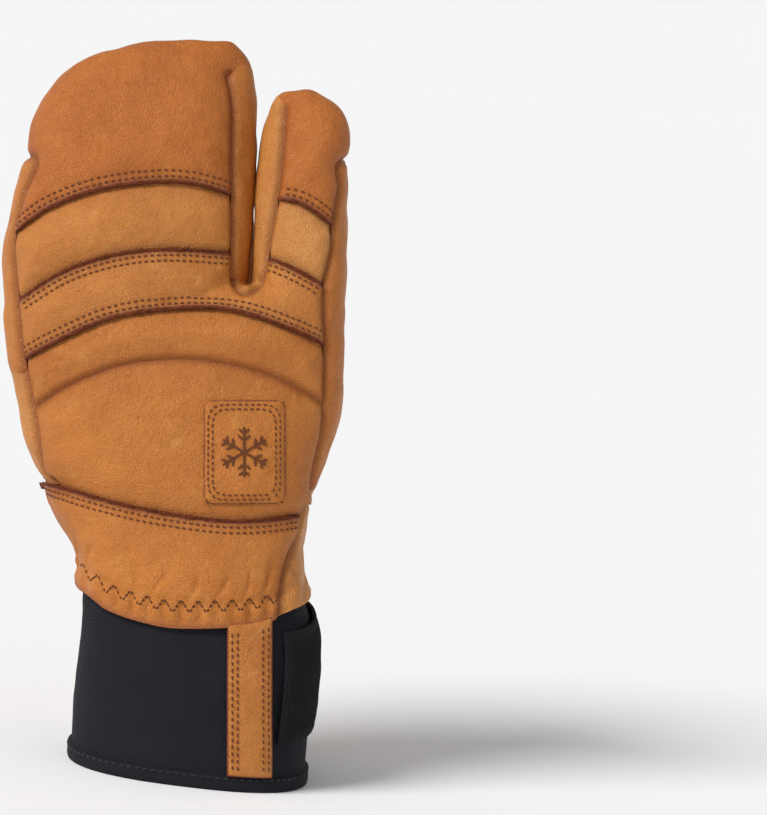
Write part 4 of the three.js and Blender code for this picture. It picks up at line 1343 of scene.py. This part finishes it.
def at_eyelet(points):
    """Points given round the y axis, set on the cuff where the eyelet is."""
    turn = np.array(Matrix.Rotation(EYELET_TILT, 3, "X"))
    return np.asarray(points) @ turn.T + EYELET_CENTRE


def make_hanging_tab():
    angles = full_turn(TAB_SIDES)
    top = TAB_TOP - cuff_level(EYELET_CENTRE[None])[0]
    reach = np.empty(len(angles))
    for k, a in enumerate(angles):
        if math.sin(a) < 0:
            reach[k] = TAB_RADIUS
            continue
        reach[k] = min(top / max(math.sin(a), 1e-3), TAB_RADIUS / max(abs(math.cos(a)), 1e-3))
    steps = np.concatenate([[0, 0.04, 0.1], np.linspace(0.2, 0.86, 7), [0.93, 0.97, 1.0]])
    radius = TAB_HOLE - 0.2 + steps[:, None] * (reach[None, :] - TAB_HOLE + 0.2)
    x, z = radius * np.cos(angles), radius * np.sin(angles)
    from_edge = reach[None, :] - radius
    face = 1.75 - 0.7 * bell(from_edge, 0.7) - 0.16 * bell(from_edge - 3.6, 0.8)
    front = np.stack([x, face, z], -1)
    back = np.stack([x, np.full_like(x, 0.1), z], -1)
    rings = np.concatenate([front, back[::-1]])
    flat = at_eyelet(rings.reshape(-1, 3))
    n = len(angles)
    faces = grid_faces(len(rings), n, closed=True)[:, ::-1].tolist()
    last = (len(rings) - 1) * n
    faces += [[(i + 1) % n, last + (i + 1) % n, last + i, i][::-1] for i in range(n)]
    edge = np.concatenate([from_edge, from_edge[::-1]]).ravel()
    raw = np.clip(1.4 - edge / 0.8, 0, 1)
    obj = finish_piece("hang_tab_leather", flat, faces, "leather", "main_leather", "hanging_tab",
                       attribute=raw)
    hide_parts("hang_tab")
    tree = BVHTree.FromPolygons(flat.tolist(), faces)
    threads = Threads()
    run = [k for k in range(n) if not (math.radians(38) < angles[k] < math.radians(142))]
    run = sorted(run, key=lambda k: (angles[k] - math.pi / 2) % (2 * math.pi))
    far = reach - TAB_STITCH_IN
    path = np.array([[far[k] * math.cos(angles[k]), 1.6, far[k] * math.sin(angles[k])] for k in run])
    sew(threads, tree, at_eyelet(path), 0.0, 2.4)
    for high in (top - 1.2, top - 2.9):
        across = np.array([[v, 1.6, high] for v in np.linspace(-12.5, 12.5, 16)])
        sew(threads, tree, at_eyelet(across), 0.0, 2.4)
    threads.make("hang_tab_stitches", "thread", "main_leather", "hanging_tab")
    profile = [(6.0, -0.9), (6.0, 2.0), (6.15, 2.6), (6.6, 3.05), (7.2, 3.25), (8.0, 3.3), (8.8, 3.2),
               (9.5, 2.9), (10.0, 2.5), (10.2, 2.1), (10.1, 1.85), (9.4, 1.8), (6.8, 1.8), (6.8, -0.9)]
    lathe("eyelet_ring", profile, ["eyelet"])
    lathe("eyelet_washer_ring", [(7.1, -0.9), (7.1, -0.2), (7.6, -0.05), (9.0, -0.05), (9.4, -0.3),
                                 (9.4, -0.9)], ["eyelet_washer"])


def lathe(name, profile, nodes, sides=72):
    """A plated ring turned round the eyelet's axis from [radius, height] points."""
    rings = np.array([[[r * math.cos(a), h, r * math.sin(a)] for a in full_turn(sides)] for r, h in profile])
    faces = torus_faces(len(profile), sides)
    obj = finish_piece(name, at_eyelet(rings.reshape(-1, 3)), faces, "chrome", "chrome", "hanging_tab",
                       sharp=40)
    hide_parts(*nodes)


make_back_strip()
make_strap()
make_pull_tab()
make_hang_strip()
make_hanging_tab()


# ------------------------------------------------------------------ badge and zigzag rows
BADGE_LOW, BADGE_HIGH, BADGE_CORNER = (7.5, 93.5), (37.0, 131.5), 4.0
BADGE_LIFT = 1.15


def cast(tree, x, z, side):
    """Where a line along y through this x and z meets a panel from outside, with the normal there."""
    hit, normal, _, _ = tree.ray_cast(Vector((x, side * 200, z)), Vector((0, -side, 0)))
    return (None, None) if hit is None else (np.array(hit), np.array(normal))


def make_badge():
    tree = surfaces["back_hand"]
    xs = np.linspace(BADGE_LOW[0], BADGE_HIGH[0], 46)
    zs = np.linspace(BADGE_LOW[1], BADGE_HIGH[1], 58)
    corner = BADGE_CORNER
    centre = (np.array(BADGE_LOW) + BADGE_HIGH) / 2
    half = (np.array(BADGE_HIGH) - BADGE_LOW) / 2
    grid = np.empty((len(zs), len(xs), 3))
    for i, z in enumerate(zs):
        for j, x in enumerate(xs):
            d = np.abs([x - centre[0], z - centre[1]]) - (half - corner)
            pull = max(0.0, math.hypot(max(d[0], 0), max(d[1], 0)) - corner)
            toward = np.array([math.copysign(max(d[0], 0), x - centre[0]),
                               math.copysign(max(d[1], 0), z - centre[1])])
            if pull > 0:
                x2, z2 = np.array([x, z]) - toward / np.linalg.norm(toward) * pull
            else:
                x2, z2 = x, z
            at, normal = cast(tree, x2, z2, -1)
            grid[i, j] = at + normal * BADGE_LIFT
    tree = leather_plate("badge_leather", grid, 1.3, "leather", "pale_leather", "hand", ["badge_patch"],
                         0.3, 0.6)
    threads = Threads(1.4, 0.32)
    for inset in (1.6, 3.2):
        radius = corner - inset * 0.6
        ring = []
        for k in range(4):
            sx, sz = ((1, -1), (1, 1), (-1, 1), (-1, -1))[k]
            for a in np.linspace(0, math.pi / 2, 6):
                turn = a + (k - 1) * math.pi / 2
                ring.append([centre[0] + sx * (half[0] - inset - radius) + radius * math.cos(turn), 0,
                             centre[1] + sz * (half[1] - inset - radius) + radius * math.sin(turn)])
        ring.append(ring[0])
        ring = resample(np.array(ring), 1.0)
        path = np.array([cast(tree, p[0], p[2], -1)[0] for p in ring])
        sew(threads, tree, np.vstack([path, path[:2]]), 0.0, 2.3)
    threads.make("badge_stitches", "thread", "pale_leather", "hand")
    flake = Threads(3.0, 0.5)
    for arm in range(6):
        direction = np.array([math.sin(arm * math.pi / 3), math.cos(arm * math.pi / 3)])
        for far in np.arange(1.2, 9.0, 2.2):
            embroider(flake, tree, centre + direction * far, direction)
        for far, reach in ((4.4, 2.4), (7.0, 1.7)):
            for turn in (-1, 1):
                branch = np.array(Matrix.Rotation(turn * math.radians(52), 2)) @ direction
                embroider(flake, tree, centre + direction * far + branch * reach * 0.6, branch)
    flake.make("badge_snowflake", "thread", "pale_leather", "hand")


def embroider(threads, tree, at, direction):
    point, normal = cast(tree, at[0], at[1], -1)
    threads.put(point + normal * 0.15, np.array([direction[0], 0, direction[1]]), normal)


def zigzag(threads, tree, line, side, x_range, rise=ZIGZAG_RISE, pitch=ZIGZAG_PITCH):
    """A three-step zigzag row that follows the hem."""
    count = int((x_range[1] - x_range[0]) / (pitch / 2))
    for k in range(count):
        x0 = x_range[0] + k * pitch / 2
        x1 = x0 + pitch / 2
        low, high = (0, rise) if k % 2 == 0 else (rise, 0)
        a = np.array([x0, np.interp(x0, line[:, 0], line[:, 1]) + low])
        b = np.array([x1, np.interp(x1, line[:, 0], line[:, 1]) + high])
        for t in (0.17, 0.5, 0.83):
            spot = a + (b - a) * t
            point, normal = cast(tree, spot[0], spot[1], side)
            if point is not None and abs(normal[1]) > 0.25:
                threads.put(point + normal * 0.14, np.array([b[0] - a[0], 0, b[1] - a[1]]), normal)


def make_zigzags():
    for name, hem, side, x_range in (("wrist_panel", "hem_back", -1, (-41, 39)),
                                     ("palm_wrist_outer", "hem_palm", 1, (-39, 1)),
                                     ("palm_wrist_thumb", "hem_palm", 1, (3, 46))):
        threads = Threads(1.35, 0.32)
        line = LINES[hem] + [0, ZIGZAG_LOW]
        zigzag(threads, surfaces[name], line, side, x_range)
        threads.make(name + "_zigzag", "dark_thread", "main_leather", "wrist_bend")


make_badge()
make_zigzags()


# ------------------------------------------------------------------ camera, light and floor
FRAME_CENTRE = (73.4, -12.0, 128.9)
FRAME_HEIGHT = 301.6
DISTANCE = 1600.0
FLOOR_HALF = 40
WORLD_LOW, WORLD_HIGH = 0.92, 0.36
KEY_FROM = (-0.62, -0.5, 0.72)
KEY_STRENGTH = 2.7
KEY_SPREAD = 24


def add_camera():
    data = bpy.data.cameras.new("camera")
    data.sensor_width = 36
    data.lens = 36 * DISTANCE / FRAME_HEIGHT
    data.clip_end = 100
    camera = bpy.data.objects.new("camera", data)
    bpy.context.scene.collection.objects.link(camera)
    axes = Matrix([TURN[:, 0], TURN[:, 2], -TURN[:, 1]]).transposed()
    place = world([[FRAME_CENTRE[0], FRAME_CENTRE[1] - DISTANCE, FRAME_CENTRE[2]]])[0]
    camera.matrix_world = Matrix.Translation(place) @ axes.to_4x4()
    bpy.context.scene.camera = camera


def add_world():
    """A plain studio: white round the horizon and softer overhead."""
    background = bpy.data.worlds.new("studio")
    background.use_nodes = True
    tree = background.node_tree
    shade = tree.nodes["Background"]
    way = tree.nodes.new("ShaderNodeTexCoord")
    split = tree.nodes.new("ShaderNodeSeparateXYZ")
    fade = tree.nodes.new("ShaderNodeMapRange")
    tree.links.new(way.outputs["Generated"], split.inputs[0])
    tree.links.new(split.outputs["Z"], fade.inputs["Value"])
    for key, value in (("From Min", 0.15), ("From Max", 0.5), ("To Min", WORLD_LOW), ("To Max", WORLD_HIGH)):
        fade.inputs[key].default_value = value
    tree.links.new(fade.outputs["Result"], shade.inputs["Strength"])
    bpy.context.scene.world = background
    shade.inputs["Color"].default_value = (1, 1, 1, 1)


def add_studio():
    n = Nodes("floor_pale")
    colour = n.mix(n.ramp(n.noise(0.4, 2), 0.3, 0.7), rgb("f6f6f6"), rgb("f5f5f5"))
    floor_material = n.finish(colour, n.bump(n.noise(3, 2), 0.00001), Roughness=1.0, Specular_IOR_Level=0.0)
    half = FLOOR_HALF
    floor = make_mesh("floor", [(-half, -half, 0), (half, -half, 0), (half, half, 0), (-half, half, 0)],
                      [(0, 1, 2, 3)])
    floor.data.materials.append(floor_material)
    add_world()
    data = bpy.data.lights.new("softbox", "SUN")
    data.energy = KEY_STRENGTH
    data.angle = math.radians(KEY_SPREAD)
    light = bpy.data.objects.new("softbox", data)
    bpy.context.scene.collection.objects.link(light)
    light.rotation_mode = "QUATERNION"
    light.rotation_quaternion = (-Vector(KEY_FROM)).to_track_quat("-Z", "Y")
    bpy.context.scene.view_settings.view_transform = "Standard"


add_camera()
add_studio()
